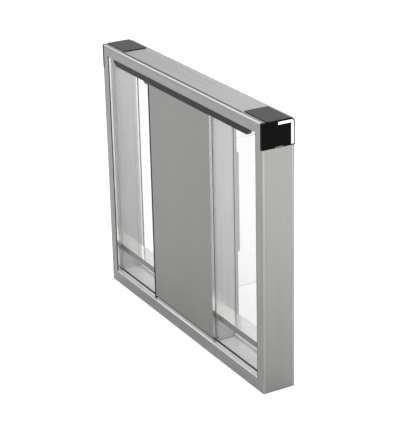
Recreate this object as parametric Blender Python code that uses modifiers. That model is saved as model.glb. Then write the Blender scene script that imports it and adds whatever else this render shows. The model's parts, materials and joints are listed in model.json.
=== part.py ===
"""Slim swing barrier turnstile: a stainless cabinet with one glass wing. Metres, +Z up.

The origin is on the floor under the middle of the cabinet. X runs along the cabinet. The service
door faces -Y and the wing stands out towards +Y, across the passage, in its closed place.
"""
import math

import bmesh
import bpy
from mathutils import Matrix, Vector

# Cabinet
CABINET_LENGTH = 1.2
CABINET_DEPTH = 0.132
CABINET_HEIGHT = 1.02
SHEET = 0.0015
GAP = 0.0003
OVERRUN = 0.004

# Front and back frame rings, folded from sheet
FRAME_DEPTH = 0.012
FRAME_EDGE_RADIUS = 0.0025
POST_FACE = 0.042
TOP_RAIL = 0.042
BOTTOM_RAIL = 0.05

# Base, end posts and top channel
BASE_SHEET = 0.003
POST_SHEET = 0.002
CHANNEL_SHEET = 0.002
CHANNEL_RISE = 0.0295
CHANNEL_LIP = 0.008
ANCHOR_HOLE_RADIUS = 0.007
ANCHOR_INSET_X = 0.1
ANCHOR_INSET_Y = 0.035
CABLE_HOLE_LENGTH = 0.09
CABLE_HOLE_WIDTH = 0.04
COVER_RETURN = 0.0087

# Glass, gaskets, sills and trays of the two bays
SILL_WIDTH = 0.01
SILL_DROP = 0.0115
PANE_THICKNESS = 0.005
GASKET_WALL = 0.0018
GASKET_FLOOR = 0.0025
BEAM_BOTTOM = 0.135
BEAM_HEIGHT = 0.025
BEAM_EDGE_RADIUS = 0.0015

# Drive housing between the bays, its door and its back panel
HOUSING_HALF = 0.228
HOUSING_FLANGE = 0.018
DOOR_OVERLAP = 0.0015
DOOR_FOOT_ROOM = 0.0155
DOOR_HEAD_ROOM = 0.004
DOOR_RECESS = 0.008
DOOR_DEPTH = 0.011
SEAL_BASE = 0.0016
SEAL_LIP = 0.0014
SEAL_OVERHANG = 0.008
SEAL_EDGE = 0.0045
SEAL_EDGE_SETBACK = 0.0005
SEAL_LIP_CLEARANCE = 0.009
BACK_PANEL_RECESS = 0.01
BACK_PANEL_DEPTH = 0.0117
BACK_SEAL = 0.0017
RAIL_HEIGHT = 0.034

# Door pivots and the clip at the other upper corner
PIVOT_INSET_X = 0.004
PIVOT_PIN_RADIUS = 0.002
PIVOT_PIN_LENGTH = 0.006
PIVOT_HOLE_RADIUS = 0.0023
PIVOT_PLATE = 0.002
PIVOT_PLATE_HALF = 0.007
PIVOT_PLATE_FRONT = 0.0006

# Smoked sensor covers and their boards
SENSOR_INSET = 0.079
SENSOR_SLANT = 0.02
SENSOR_DROP = 0.0255
SENSOR_RECESS = 0.0045
SENSOR_DEPTH = 0.015
SENSOR_WALL = 0.0018
SENSOR_CORNER_RADIUS = 0.008
EMITTER_RADIUS = 0.0025
EMITTER_COUNT = 12
EMITTER_DEPTH = 0.005
BOARD_THICKNESS = 0.0016

# Lid and the caps over the upper corners
LID_GAP = 0.003
LID_FLANGE = 0.0122
CAP_PLATE = 0.01
CAP_DROP = 0.0955
CAP_LENGTH = 0.15
CAP_FRONT = 0.022
CAP_PROUD = 0.0025
CAP_WALL = 0.0025
CAP_CORNER_RADIUS = 0.004
CAP_SHOULDER_RADIUS = 0.012
LIGHT_WIDTH = 0.01
LIGHT_DEPTH = 0.003
LIGHT_MARGIN = 0.0042
LIGHT_ARM = 0.062
LIGHT_CORNER_RADIUS = 0.009
READER_MARGIN = 0.006
READER_CLEARANCE = 0.0084
STANDOFF_RADIUS = 0.003

# Wing axis, column, shaft and bearings
AXIS_STANDOFF = 0.03
COLUMN_RADIUS = 0.025
COLUMN_WALL = 0.004
COLUMN_PLUG = 0.012
COLUMN_BOTTOM = 0.288
COLUMN_TOP = 0.696
SHAFT_RADIUS = 0.01
SHAFT_BOTTOM = 0.2268
SHAFT_TOP = 0.736
BEARING_RADIUS = 0.016
BEARING_WIDTH = 0.008
BEARING_GROOVE = 0.0006

# Wing glass and its clamp
GLASS_THICKNESS = 0.01
GLASS_REACH = 0.27
GLASS_INNER = 0.0272
GLASS_BOTTOM = 0.13
GLASS_TOP = 0.75
GLASS_CORNER_RADIUS = 0.03
PAD_THICKNESS = 0.0015
CLAMP_PLATE = 0.006
CLAMP_REACH = 0.097
CLAMP_CORNER_RADIUS = 0.003
CLAMP_BOLT_INSET = 0.09
CLAMP_BOLT_RADIUS = 0.003
CLAMP_BOLT_CLEARANCE = 0.0004
CLAMP_BOLT_HEAD_RADIUS = 0.0055
CLAMP_BOLT_HEAD = 0.0025

# Gear case on the drive post, and the gears in it
POST_WIDTH = 0.06
POST_WALL = 0.003
POST_STANDOFF = 0.0265
POST_ROOM = 0.009
CASE_BOTTOM = 0.22
CASE_HEIGHT = 0.056
CASE_WALL = 0.003
CASE_FLOOR = 0.0065
CASE_COVER = 0.006
CASE_FLANGE = 0.005
CASE_FLANGE_RISE = 0.02
GEAR_MODULE = 0.002
GEAR_TEETH = 18
GEAR_FACE = 0.014
GEAR_BOTTOM = 0.236
GEAR_BACKLASH = 0.0003
PRESSURE_ANGLE = math.radians(20)
GEAR_BORE_CLEARANCE = 0.00005
IDLER_PIN_RADIUS = 0.005
MOTOR_SHAFT_RADIUS = 0.005
MOTOR_SHAFT_TOP = 0.296
MOTOR_RADIUS = 0.021
MOTOR_LENGTH = 0.085
GEARHEAD_LENGTH = 0.05
BRACKET_HEIGHT = 0.04
SLOT_CLEARANCE = 0.002
DISC_RADIUS = 0.017
DISC_THICKNESS = 0.0015
DISC_RISE = 0.008
DISC_HUB_RADIUS = 0.009

# Controller board and power supply on the equipment plate
EQUIPMENT_BOTTOM = 0.2
EQUIPMENT_HEAD_ROOM = 0.0485
EQUIPMENT_STEP = 0.0075
EQUIPMENT_FLANGE = 0.012
CONTROLLER_WIDTH = 0.15
CONTROLLER_HEIGHT = 0.2
CONTROLLER_HEAD_ROOM = 0.06
CONTROLLER_STANDOFF = 0.006
RELAY_DEPTH = 0.012
SUPPLY_WIDTH = 0.11
SUPPLY_HEIGHT = 0.16
SUPPLY_ROOM = 0.002
SUPPLY_FOOT_ROOM = 0.03
SUPPLY_SLOTS = 8
SUPPLY_SLOT_HEIGHT = 0.004
SUPPLY_SLOT_DEPTH = 0.003

ROUND_STEPS = 32
SMALL_STEPS = 16
CORNER_STEPS = 4
BEVEL_ANGLE = math.radians(50)
SMOOTH_ANGLE = math.radians(35)

# Places that follow from the sizes above
HALF_LENGTH = CABINET_LENGTH / 2
FRONT_Y = -CABINET_DEPTH / 2
OPENING_HALF = HALF_LENGTH - POST_FACE
OPENING_TOP = CABINET_HEIGHT - TOP_RAIL
CORE_FRONT = FRAME_DEPTH + GAP
CORE_HALF_DEPTH = CABINET_DEPTH / 2 - CORE_FRONT
CORE_HALF_LENGTH = HALF_LENGTH - CAP_PLATE - GAP
CAP_BOTTOM = CABINET_HEIGHT - CAP_DROP
CEILING = OPENING_TOP - GAP
BAY_OUTER = OPENING_HALF - GAP
BAY_INNER = HOUSING_HALF + GAP
GASKET_WIDTH = 2 * GASKET_WALL + 2 * GAP + PANE_THICKNESS
GASKET_FRONT = CORE_FRONT + SILL_WIDTH + GAP
PANE_FRONT = GASKET_FRONT + GASKET_WALL + GAP
TRAY_FRONT = GASKET_FRONT + GASKET_WIDTH + GAP
DOOR_HALF = HOUSING_HALF + DOOR_OVERLAP
SENSOR_HALF = HALF_LENGTH - SENSOR_INSET
SENSOR_BOTTOM = OPENING_TOP - SENSOR_DROP
SENSOR_BACK = SENSOR_RECESS + SENSOR_DEPTH
DOOR_BOTTOM = BOTTOM_RAIL + DOOR_FOOT_ROOM
DOOR_TOP = SENSOR_BOTTOM - DOOR_HEAD_ROOM
SEAL_FRONT = DOOR_RECESS + DOOR_DEPTH + GAP
SEAL_BACK = SEAL_FRONT + SEAL_LIP + SEAL_BASE
HOUSING_FRONT = SEAL_BACK + GAP
BACK_PANEL_INNER = CABINET_DEPTH - BACK_PANEL_RECESS - BACK_PANEL_DEPTH
HOUSING_BACK = BACK_PANEL_INNER - BACK_SEAL - 2 * GAP
PIVOT_X = -DOOR_HALF + PIVOT_INSET_X
PIVOT_DEPTH = DOOR_RECESS + DOOR_DEPTH / 2
AXIS_Y = CABINET_DEPTH / 2 + AXIS_STANDOFF
GEAR_PITCH_RADIUS = GEAR_MODULE * GEAR_TEETH / 2
GEAR_SPACING = 2 * GEAR_PITCH_RADIUS
IDLER_Y = AXIS_Y - GEAR_SPACING
MOTOR_Y = IDLER_Y - GEAR_SPACING
POST_BACK_Y = MOTOR_Y - POST_STANDOFF
POST_FRONT_Y = FRONT_Y + HOUSING_FRONT + SHEET + POST_ROOM
EQUIPMENT_BACK_Y = POST_BACK_Y - EQUIPMENT_STEP
EQUIPMENT_TOP = DOOR_TOP - EQUIPMENT_HEAD_ROOM
CONTROLLER_BOTTOM = EQUIPMENT_TOP - CONTROLLER_HEAD_ROOM - CONTROLLER_HEIGHT
SUPPLY_BOTTOM = EQUIPMENT_BOTTOM + SUPPLY_FOOT_ROOM
SUPPLY_FRONT_Y = FRONT_Y + HOUSING_FRONT + SHEET + SUPPLY_ROOM
CASE_TOP = CASE_BOTTOM + CASE_HEIGHT
CASE_ROOT_Y = POST_BACK_Y + GAP
COVER_BOTTOM = CASE_TOP + GAP
COVER_TOP = COVER_BOTTOM + CASE_COVER
BRACKET_BOTTOM = COLUMN_TOP + SLOT_CLEARANCE
LID_FRONT = FRAME_DEPTH + LID_GAP


def y_at(depth):
    """Y of a plane that lies this far behind the cabinet's front face."""
    return FRONT_Y + depth


def collection(name):
    made = bpy.data.collections.new(name)
    bpy.context.scene.collection.children.link(made)
    return made


def clear_scene():
    for old in list(bpy.data.objects):
        bpy.data.objects.remove(old, do_unlink=True)


def finish_material(name, colour, roughness, metallic, alpha=1.0):
    made = bpy.data.materials.new(name)
    made.use_nodes = True
    shader = made.node_tree.nodes["Principled BSDF"]
    shader.inputs["Base Color"].default_value = (*colour, 1.0)
    shader.inputs["Roughness"].default_value = roughness
    shader.inputs["Metallic"].default_value = metallic
    shader.inputs["Alpha"].default_value = alpha
    return made


FINISHES = {
    "stainless": ((0.62, 0.62, 0.61), 0.35, 1.0, 1.0),
    "steel": ((0.5, 0.51, 0.52), 0.45, 1.0, 1.0),
    "aluminium": ((0.75, 0.76, 0.77), 0.4, 1.0, 1.0),
    "glass": ((0.93, 0.96, 0.95), 0.05, 0.0, 0.3),
    "rubber": ((0.02, 0.02, 0.02), 0.7, 0.0, 1.0),
    "gloss_black": ((0.015, 0.015, 0.015), 0.12, 0.0, 1.0),
    "smoked": ((0.03, 0.03, 0.03), 0.1, 0.0, 1.0),
    "light": ((0.95, 0.95, 0.93), 0.4, 0.0, 1.0),
    "board": ((0.02, 0.16, 0.07), 0.5, 0.0, 1.0),
    "motor": ((0.05, 0.05, 0.055), 0.45, 0.0, 1.0),
}


def add_object(name, mesh, finish=None):
    """Put a mesh in the part's collection as one named node, or in the cutters' without a finish."""
    made = bpy.data.objects.new(name, mesh)
    if finish:
        PART.objects.link(made)
        made.data.materials.clear()
        made.data.materials.append(finish_material(name, *FINISHES[finish]))
    else:
        CUTTERS.objects.link(made)
        made.hide_render = True
        made.display_type = "WIRE"
    return made


def mesh_from(name, make):
    """Run a bmesh recipe and return its mesh."""
    mesh = bpy.data.meshes.new(name)
    work = bmesh.new()
    make(work)
    work.to_mesh(mesh)
    work.free()
    return mesh


def box_mesh(name, low, high):
    size = Vector(high) - Vector(low)
    middle = (Vector(high) + Vector(low)) / 2

    def make(work):
        bmesh.ops.create_cube(work, size=1.0)
        bmesh.ops.scale(work, vec=size, verts=work.verts)
        bmesh.ops.translate(work, vec=middle, verts=work.verts)
    return mesh_from(name, make)


def box(name, low, high, finish=None, edge_radius=0.0):
    made = add_object(name, box_mesh(name, low, high), finish)
    if edge_radius:
        round_edges(made, edge_radius)
    return made


def round_edges(target, radius, segments=2):
    bevel = target.modifiers.new("rounded edges", "BEVEL")
    bevel.width = radius
    bevel.segments = segments
    bevel.limit_method = "ANGLE"
    bevel.angle_limit = BEVEL_ANGLE
    return bevel


def cut(target, *cutters):
    for cutter in cutters:
        boolean = target.modifiers.new("cut", "BOOLEAN")
        boolean.operation = "DIFFERENCE"
        boolean.object = cutter
    return target


def join(target, *pieces):
    for piece in pieces:
        boolean = target.modifiers.new("join", "BOOLEAN")
        boolean.operation = "UNION"
        boolean.object = piece
    return target


def smooth(target):
    target.data.shade_smooth()
    target.data.set_sharp_from_angle(angle=SMOOTH_ANGLE)
    return target


def rods(name, lines, radius, finish=None, steps=SMALL_STEPS):
    """Round bars between pairs of points, in one object."""
    def make(work):
        for start, end in lines:
            along = Vector(end) - Vector(start)
            turn = along.to_track_quat("Z", "Y").to_matrix().to_4x4()
            place = Matrix.Translation((Vector(start) + Vector(end)) / 2) @ turn
            bmesh.ops.create_cone(work, cap_ends=True, segments=steps, radius1=radius, radius2=radius,
                                  depth=along.length, matrix=place)
    return smooth(add_object(name, mesh_from(name, make), finish))


def rod(name, start, end, radius, finish=None, steps=SMALL_STEPS):
    return rods(name, [(start, end)], radius, finish, steps)


def arc(centre, radius, start, end, steps=CORNER_STEPS):
    """Points on an arc, with its angles in degrees."""
    points = []
    for step in range(steps + 1):
        angle = math.radians(start + (end - start) * step / steps)
        points.append((centre[0] + radius * math.cos(angle), centre[1] + radius * math.sin(angle)))
    return points


def rounded_rectangle(low, high, radii):
    """Outline with one radius for each corner: lower right, upper right, upper left, lower left."""
    corners = ((high[0], low[1], -1, 1, -90), (high[0], high[1], -1, -1, 0),
               (low[0], high[1], 1, -1, 90), (low[0], low[1], 1, 1, 180))
    points = []
    for (x, y, inward_x, inward_y, start), radius in zip(corners, radii):
        if radius:
            points += arc((x + inward_x * radius, y + inward_y * radius), radius, start, start + 90)
        else:
            points.append((x, y))
    return points


def upright(depth):
    """Place an outline drawn in X and Z on the plane that lies this far behind the front face."""
    return Matrix.Translation((0, y_at(depth), 0)) @ Matrix.Rotation(math.radians(90), 4, "X")


def lying(height):
    """Place an outline drawn in X and Y at this height."""
    return Matrix.Translation((0, 0, height))


def crosswise(x):
    """Place an outline drawn in Y and Z on the plane at this X."""
    quarter = math.radians(90)
    return Matrix.Translation((x, 0, 0)) @ Matrix.Rotation(quarter, 4, "Z") @ Matrix.Rotation(quarter, 4, "X")


def slab_mesh(name, outlines, thickness, place):
    """A flat plate from one outline and its holes, centred on the plane of its placing matrix."""
    curve = bpy.data.curves.new(name, "CURVE")
    curve.dimensions = "2D"
    curve.fill_mode = "BOTH"
    curve.extrude = thickness / 2
    for outline in outlines:
        spline = curve.splines.new("POLY")
        spline.points.add(len(outline) - 1)
        for point, (x, y) in zip(spline.points, outline):
            point.co = (x, y, 0, 1)
        spline.use_cyclic_u = True
    holder = bpy.data.objects.new(name, curve)
    bpy.context.scene.collection.objects.link(holder)
    bpy.context.view_layer.update()
    seen = holder.evaluated_get(bpy.context.evaluated_depsgraph_get())
    mesh = bpy.data.meshes.new_from_object(seen)
    bpy.data.objects.remove(holder)
    bpy.data.curves.remove(curve)

    def make(work):
        work.from_mesh(mesh)
        bmesh.ops.remove_doubles(work, verts=work.verts, dist=GAP / 10)
        bmesh.ops.transform(work, matrix=place, verts=work.verts)
    return mesh_from(name, make)


def slab(name, outlines, thickness, place, finish=None):
    return add_object(name, slab_mesh(name, outlines, thickness, place), finish)


def folded(name, profile, thickness, place, length, finish, inward=1.0):
    """Sheet folded along a profile drawn in the placing matrix's X and Y, and run along its Z."""
    def make(work):
        rows = []
        for end in (-length / 2, length / 2):
            rows.append([work.verts.new((x, y, end)) for x, y in profile])
        for index in range(len(profile) - 1):
            work.faces.new((rows[0][index], rows[0][index + 1], rows[1][index + 1], rows[1][index]))
        bmesh.ops.transform(work, matrix=place, verts=work.verts)
    made = add_object(name, mesh_from(name, make), finish)
    shell = made.modifiers.new("sheet", "SOLIDIFY")
    shell.thickness = thickness
    shell.offset = inward
    shell.use_even_offset = True
    return made


def tray(name, outline, depth, thickness, place, finish=None):
    """Sheet with its whole rim folded back: the face lies on the placing plane, the rim behind it."""
    def make(work):
        face = [work.verts.new((x, y, 0)) for x, y in outline]
        rim = [work.verts.new((x, y, -depth)) for x, y in outline]
        work.faces.new(face)
        for index in range(len(outline)):
            other = (index + 1) % len(outline)
            work.faces.new((face[other], face[index], rim[index], rim[other]))
        bmesh.ops.transform(work, matrix=place, verts=work.verts)
    made = add_object(name, mesh_from(name, make), finish)
    shell = made.modifiers.new("sheet", "SOLIDIFY")
    shell.thickness = thickness
    shell.offset = -1.0
    shell.use_even_offset = True
    return made


def turned(name, profile, centre, finish=None, steps=ROUND_STEPS, closed=False):
    """Revolve (radius, height) points, given down the outer side, about a vertical axis."""
    def make(work):
        points = [work.verts.new((radius, 0, height)) for radius, height in profile]
        for index in range(len(points) - 1):
            work.edges.new((points[index], points[index + 1]))
        if closed:
            work.edges.new((points[-1], points[0]))
    made = add_object(name, mesh_from(name, make), finish)
    made.location = centre
    screw = made.modifiers.new("turned", "SCREW")
    screw.steps = steps
    screw.render_steps = steps
    screw.use_merge_vertices = True
    screw.merge_threshold = GAP / 10
    screw.use_smooth_shade = False
    return made


def mirrored_front_to_back(name, source, finish):
    """Copy of a front piece, turned half a turn about the cabinet's vertical middle line."""
    made = add_object(name, source.data.copy(), finish)
    made.rotation_euler = (0, 0, math.pi)
    for old in source.modifiers:
        new = made.modifiers.new(old.name, old.type)
        for setting in old.bl_rna.properties:
            if not setting.is_readonly and setting.identifier not in ("name", "object"):
                setattr(new, setting.identifier, getattr(old, setting.identifier))
        if old.type == "BOOLEAN":
            new.object = turned_cutter(old.object)
    return made


def turned_cutter(source):
    made = add_object(source.name + "_turned", source.data.copy())
    made.rotation_euler = (0, 0, math.pi)
    return made


# Frame rings

def ring_section():
    """The folded section as (edge, distance from that edge, depth behind the face)."""
    section = [("outer", 0.0, FRAME_DEPTH)]
    radius = FRAME_EDGE_RADIUS
    for across, down in arc((radius, radius), radius, 180, 270):
        section.append(("outer", across, down))
    for across, down in reversed(arc((radius, radius), radius, 180, 270)):
        section.append(("inner", across, down))
    section.append(("inner", 0.0, FRAME_DEPTH))
    return section


def ring_loop(edge, distance):
    """Corners of the rectangle that lies this far inside the outer or outside the inner edge."""
    if edge == "outer":
        half, low, high = HALF_LENGTH - distance, distance, CABINET_HEIGHT - distance
    else:
        half, low, high = OPENING_HALF + distance, BOTTOM_RAIL - distance, OPENING_TOP + distance
    return ((-half, low), (half, low), (half, high), (-half, high))


def front_frame():
    def make(work):
        loops = []
        for edge, distance, depth in ring_section():
            corners = ring_loop(edge, distance)
            loops.append([work.verts.new((x, y_at(depth), z)) for x, z in corners])
        for outer, inner in zip(loops, loops[1:]):
            for index in range(len(outer)):
                other = (index + 1) % len(outer)
                work.faces.new((outer[index], outer[other], inner[other], inner[index]))
    made = smooth(add_object("front_frame", mesh_from("front_frame", make), "stainless"))
    shell = made.modifiers.new("sheet", "SOLIDIFY")
    shell.thickness = SHEET
    shell.offset = -1.0
    shell.use_even_offset = True
    notches = []
    for side in (-1, 1):
        inner = side * CORE_HALF_LENGTH
        outer = side * (HALF_LENGTH + OVERRUN)
        notches.append(box("cap_notch", (min(inner, outer), FRONT_Y - OVERRUN, CAP_BOTTOM - GAP),
                           (max(inner, outer), y_at(FRAME_DEPTH + OVERRUN), CABINET_HEIGHT + OVERRUN)))
    return cut(made, *notches)


def frames():
    front = front_frame()
    mirrored_front_to_back("back_frame", front, "stainless")


# Base channel, end posts, end covers and top channel

def base_channel():
    top = BOTTOM_RAIL - SHEET - GAP
    wide = CORE_HALF_DEPTH
    profile = [(-wide, top), (-wide, 0), (wide, 0), (wide, top)]
    made = folded("base_channel", profile, BASE_SHEET, crosswise(0), 2 * CORE_HALF_LENGTH, "steel", -1.0)
    holes = []
    for x in (-CORE_HALF_LENGTH + ANCHOR_INSET_X, CORE_HALF_LENGTH - ANCHOR_INSET_X):
        for y in (-CORE_HALF_DEPTH + ANCHOR_INSET_Y, CORE_HALF_DEPTH - ANCHOR_INSET_Y):
            holes.append(rod("anchor_hole", (x, y, -OVERRUN), (x, y, BASE_SHEET + OVERRUN),
                             ANCHOR_HOLE_RADIUS))
    half = CABLE_HOLE_LENGTH / 2
    corner = CABLE_HOLE_WIDTH / 2
    middle = (BAY_INNER - POST_WIDTH / 2) / 2 + POST_WIDTH / 2
    for x in (-middle, middle):
        outline = rounded_rectangle((x - half, -corner), (x + half, corner), (corner,) * 4)
        holes.append(slab("cable_hole", [outline], 2 * (BASE_SHEET + OVERRUN), lying(0)))
    return cut(made, *holes)


def end_posts():
    for name, side in (("left_end_post", -1), ("right_end_post", 1)):
        low = BOTTOM_RAIL - SHEET
        web = side * OPENING_HALF
        end = side * CORE_HALF_LENGTH
        half = CORE_HALF_DEPTH
        profile = [(end, -half), (web, -half), (web, half), (end, half)]
        place = lying((low + CEILING) / 2)
        folded(name, profile, POST_SHEET, place, CEILING - low, "stainless", side * 1.0)


def end_covers():
    for name, side in (("left_end_cover", -1), ("right_end_cover", 1)):
        half = CORE_HALF_DEPTH
        high = CAP_BOTTOM - GAP
        profile = [(side * (HALF_LENGTH - COVER_RETURN), -half), (side * HALF_LENGTH, -half),
                   (side * HALF_LENGTH, half), (side * (HALF_LENGTH - COVER_RETURN), half)]
        low = BOTTOM_RAIL
        made = folded(name, profile, SHEET, lying((low + high) / 2), high - low, "stainless", -side * 1.0)
        skirt = box("cover_skirt", (min(side * HALF_LENGTH, side * (HALF_LENGTH - SHEET)), -half, 0),
                    (max(side * HALF_LENGTH, side * (HALF_LENGTH - SHEET)), half, low + OVERRUN))
        join(made, skirt)


def top_channel():
    lip = CORE_HALF_DEPTH - CHANNEL_LIP
    top = OPENING_TOP + CHANNEL_RISE
    profile = [(-lip, top), (-CORE_HALF_DEPTH, top), (-CORE_HALF_DEPTH, OPENING_TOP),
               (CORE_HALF_DEPTH, OPENING_TOP), (CORE_HALF_DEPTH, top), (lip, top)]
    length = 2 * CORE_HALF_LENGTH
    return folded("top_channel", profile, CHANNEL_SHEET, crosswise(0), length, "stainless", -1.0)


# Bays: sills, gaskets, panes, trays and crossbeams

def sills():
    for name, side in (("front_glass_sill", -1), ("back_glass_sill", 1)):
        step = CORE_HALF_DEPTH - SILL_WIDTH
        foot = step - GAP - GASKET_WIDTH
        low = BOTTOM_RAIL - SILL_DROP
        profile = [(side * CORE_HALF_DEPTH, BOTTOM_RAIL), (side * step, BOTTOM_RAIL), (side * step, low),
                   (side * foot, low)]
        folded(name, profile, SHEET, crosswise(0), 2 * BAY_OUTER, "stainless", -side * 1.0)


def bays():
    """Lowest and highest X of the left and the right bay."""
    return (("left", -BAY_OUTER, -BAY_INNER), ("right", BAY_INNER, BAY_OUTER))


def gaskets():
    """U-shaped rubber strips in the sills, along both faces, with the panes' lower edges in them."""
    base = BOTTOM_RAIL - SILL_DROP + GAP
    floor = base + GASKET_FLOOR
    for name, side in (("front_glass_gasket", -1), ("back_glass_gasket", 1)):
        near = side * (CABINET_DEPTH / 2 - GASKET_FRONT)
        far = near - side * GASKET_WIDTH
        near_inner = near - side * GASKET_WALL
        far_inner = far + side * GASKET_WALL
        outline = [(near, base), (near, BOTTOM_RAIL), (near_inner, BOTTOM_RAIL), (near_inner, floor),
                   (far_inner, floor), (far_inner, BOTTOM_RAIL), (far, BOTTOM_RAIL), (far, base)]
        slab(name, [outline], 2 * BAY_OUTER, crosswise(0), "rubber")


def panes():
    low = BOTTOM_RAIL - SILL_DROP + GASKET_FLOOR + 2 * GAP
    high = CEILING
    for bay, left, right in bays():
        for face, side in (("front", -1), ("back", 1)):
            near = side * (CABINET_DEPTH / 2 - PANE_FRONT)
            far = near - side * PANE_THICKNESS
            box(f"{bay}_{face}_pane", (left + GAP, min(near, far), low),
                (right - GAP, max(near, far), high), "glass")


def trays():
    half = CABINET_DEPTH / 2 - TRAY_FRONT
    low = BASE_SHEET + GAP
    profile = [(-half, low), (-half, BOTTOM_RAIL), (half, BOTTOM_RAIL), (half, low)]
    for bay, left, right in bays():
        place = crosswise((left + right) / 2)
        folded(f"{bay}_bay_tray", profile, SHEET, place, right - left, "stainless", 1.0)


def crossbeams():
    """Rectangular tubes with rounded edges, from end post to drive housing."""
    half = CABINET_DEPTH / 2 - TRAY_FRONT
    high = BEAM_BOTTOM + BEAM_HEIGHT
    outer = rounded_rectangle((-half, BEAM_BOTTOM), (half, high), (BEAM_EDGE_RADIUS,) * 4)
    inner = [(-half + SHEET, BEAM_BOTTOM + SHEET), (half - SHEET, BEAM_BOTTOM + SHEET),
             (half - SHEET, high - SHEET), (-half + SHEET, high - SHEET)]
    for bay, left, right in bays():
        slab(f"{bay}_crossbeam", [outer, inner], right - left, crosswise((left + right) / 2), "stainless")


# Drive housing, service door, seals, pivots and back panel

def drive_housing():
    """Two folded walls joined by a cross rail at the top and at the bottom of each face."""
    low = BOTTOM_RAIL + GAP
    front = y_at(HOUSING_FRONT)
    back = y_at(HOUSING_BACK)
    flange = HOUSING_HALF - HOUSING_FLANGE
    walls = []
    for side in (-1, 1):
        profile = [(side * flange, front), (side * HOUSING_HALF, front), (side * HOUSING_HALF, back),
                   (side * flange, back)]
        finish = "stainless" if side < 0 else None
        name = "drive_housing" if side < 0 else "right_wall"
        place = lying((low + CEILING) / 2)
        walls.append(folded(name, profile, SHEET, place, CEILING - low, finish, -side * 1.0))
    rails = []
    reach = HOUSING_HALF - SHEET / 2
    for face, inner in ((front, front + SHEET), (back, back - SHEET)):
        for bottom, top in ((low, low + RAIL_HEIGHT), (DOOR_TOP - RAIL_HEIGHT, DOOR_TOP)):
            near, far = min(face, inner), max(face, inner)
            rails.append(box("cross_rail", (-reach, near, bottom), (reach, far, top)))
    return join(walls[0], walls[1], *rails)


def door_outline():
    return [(-DOOR_HALF, DOOR_BOTTOM), (DOOR_HALF, DOOR_BOTTOM), (DOOR_HALF, DOOR_TOP),
            (-DOOR_HALF, DOOR_TOP)]


def service_door():
    made = tray("service_door", door_outline(), DOOR_DEPTH, SHEET, upright(DOOR_RECESS), "stainless")
    y = y_at(PIVOT_DEPTH)
    holes = [rod("pivot_hole", (PIVOT_X, y, level - PIVOT_PIN_LENGTH), (PIVOT_X, y, level + PIVOT_PIN_LENGTH),
                 PIVOT_HOLE_RADIUS) for level in (DOOR_BOTTOM, DOOR_TOP)]
    return cut(made, *holes)


def seal_frame(name, half_left, thickness, front):
    """Flat rubber frame around the housing's mouth, with its left edge this far from the middle."""
    inner = HOUSING_HALF - HOUSING_FLANGE
    outer = [(-half_left, DOOR_BOTTOM), (DOOR_HALF, DOOR_BOTTOM), (DOOR_HALF, DOOR_TOP),
             (-half_left, DOOR_TOP)]
    hole = [(-inner, DOOR_BOTTOM + HOUSING_FLANGE), (inner, DOOR_BOTTOM + HOUSING_FLANGE),
            (inner, DOOR_TOP - HOUSING_FLANGE), (-inner, DOOR_TOP - HOUSING_FLANGE)]
    return slab(name, [outer, hole], thickness, upright(front + thickness / 2), "rubber")


def seals():
    """Door seal with a lip under the door's rim and a raised edge beside its pivots, and the back gasket."""
    left = DOOR_HALF + SEAL_OVERHANG
    door_seal = seal_frame("door_seal", left, SEAL_BASE, SEAL_FRONT + SEAL_LIP)
    inner = HOUSING_HALF - HOUSING_FLANGE
    start = -DOOR_HALF + SEAL_LIP_CLEARANCE
    lip = [(start, DOOR_BOTTOM), (DOOR_HALF, DOOR_BOTTOM), (DOOR_HALF, DOOR_TOP), (start, DOOR_TOP),
           (start, DOOR_TOP - HOUSING_FLANGE), (inner, DOOR_TOP - HOUSING_FLANGE),
           (inner, DOOR_BOTTOM + HOUSING_FLANGE), (start, DOOR_BOTTOM + HOUSING_FLANGE)]
    depth = SEAL_LIP + SEAL_BASE / 2
    edge = box("seal_edge", (-left, y_at(DOOR_RECESS + SEAL_EDGE_SETBACK), BOTTOM_RAIL + GAP),
               (-left + SEAL_EDGE, y_at(SEAL_BACK - SEAL_BASE / 2), DOOR_TOP))
    join(door_seal, slab("seal_lip", [lip], depth, upright(SEAL_FRONT + depth / 2)), edge)
    seal_frame("back_panel_gasket", DOOR_HALF, BACK_SEAL, HOUSING_BACK + GAP)


def pivot_plate(name, x, low):
    front = DOOR_RECESS + PIVOT_PLATE_FRONT
    return box(name, (x - PIVOT_PLATE_HALF, y_at(front), low),
               (x + PIVOT_PLATE_HALF, y_at(SEAL_BACK), low + PIVOT_PLATE), "stainless")


def pivots():
    """Plates that carry the door's two pins, and a matching clip at the other upper corner."""
    upper = DOOR_TOP + GAP
    lower = DOOR_BOTTOM - GAP - PIVOT_PLATE
    y = y_at(PIVOT_DEPTH)
    top_plate = pivot_plate("upper_pivot_bracket", PIVOT_X, upper)
    join(top_plate, rod("upper_pin", (PIVOT_X, y, upper - PIVOT_PIN_LENGTH),
                        (PIVOT_X, y, upper + PIVOT_PLATE / 2), PIVOT_PIN_RADIUS))
    low_plate = pivot_plate("lower_pivot_bracket", PIVOT_X, lower)
    join(low_plate, rod("lower_pin", (PIVOT_X, y, lower + PIVOT_PLATE / 2),
                        (PIVOT_X, y, lower + PIVOT_PLATE + PIVOT_PIN_LENGTH), PIVOT_PIN_RADIUS))
    pivot_plate("door_corner_clip", -PIVOT_X, upper)


def bracket_outline(half, root, tip=AXIS_Y):
    """Outline in plan with straight sides and a round end about the column's axis."""
    return [(-half, root)] + [(half, root)] + arc((0, tip), half, 0, 180, ROUND_STEPS // 2)


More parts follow.
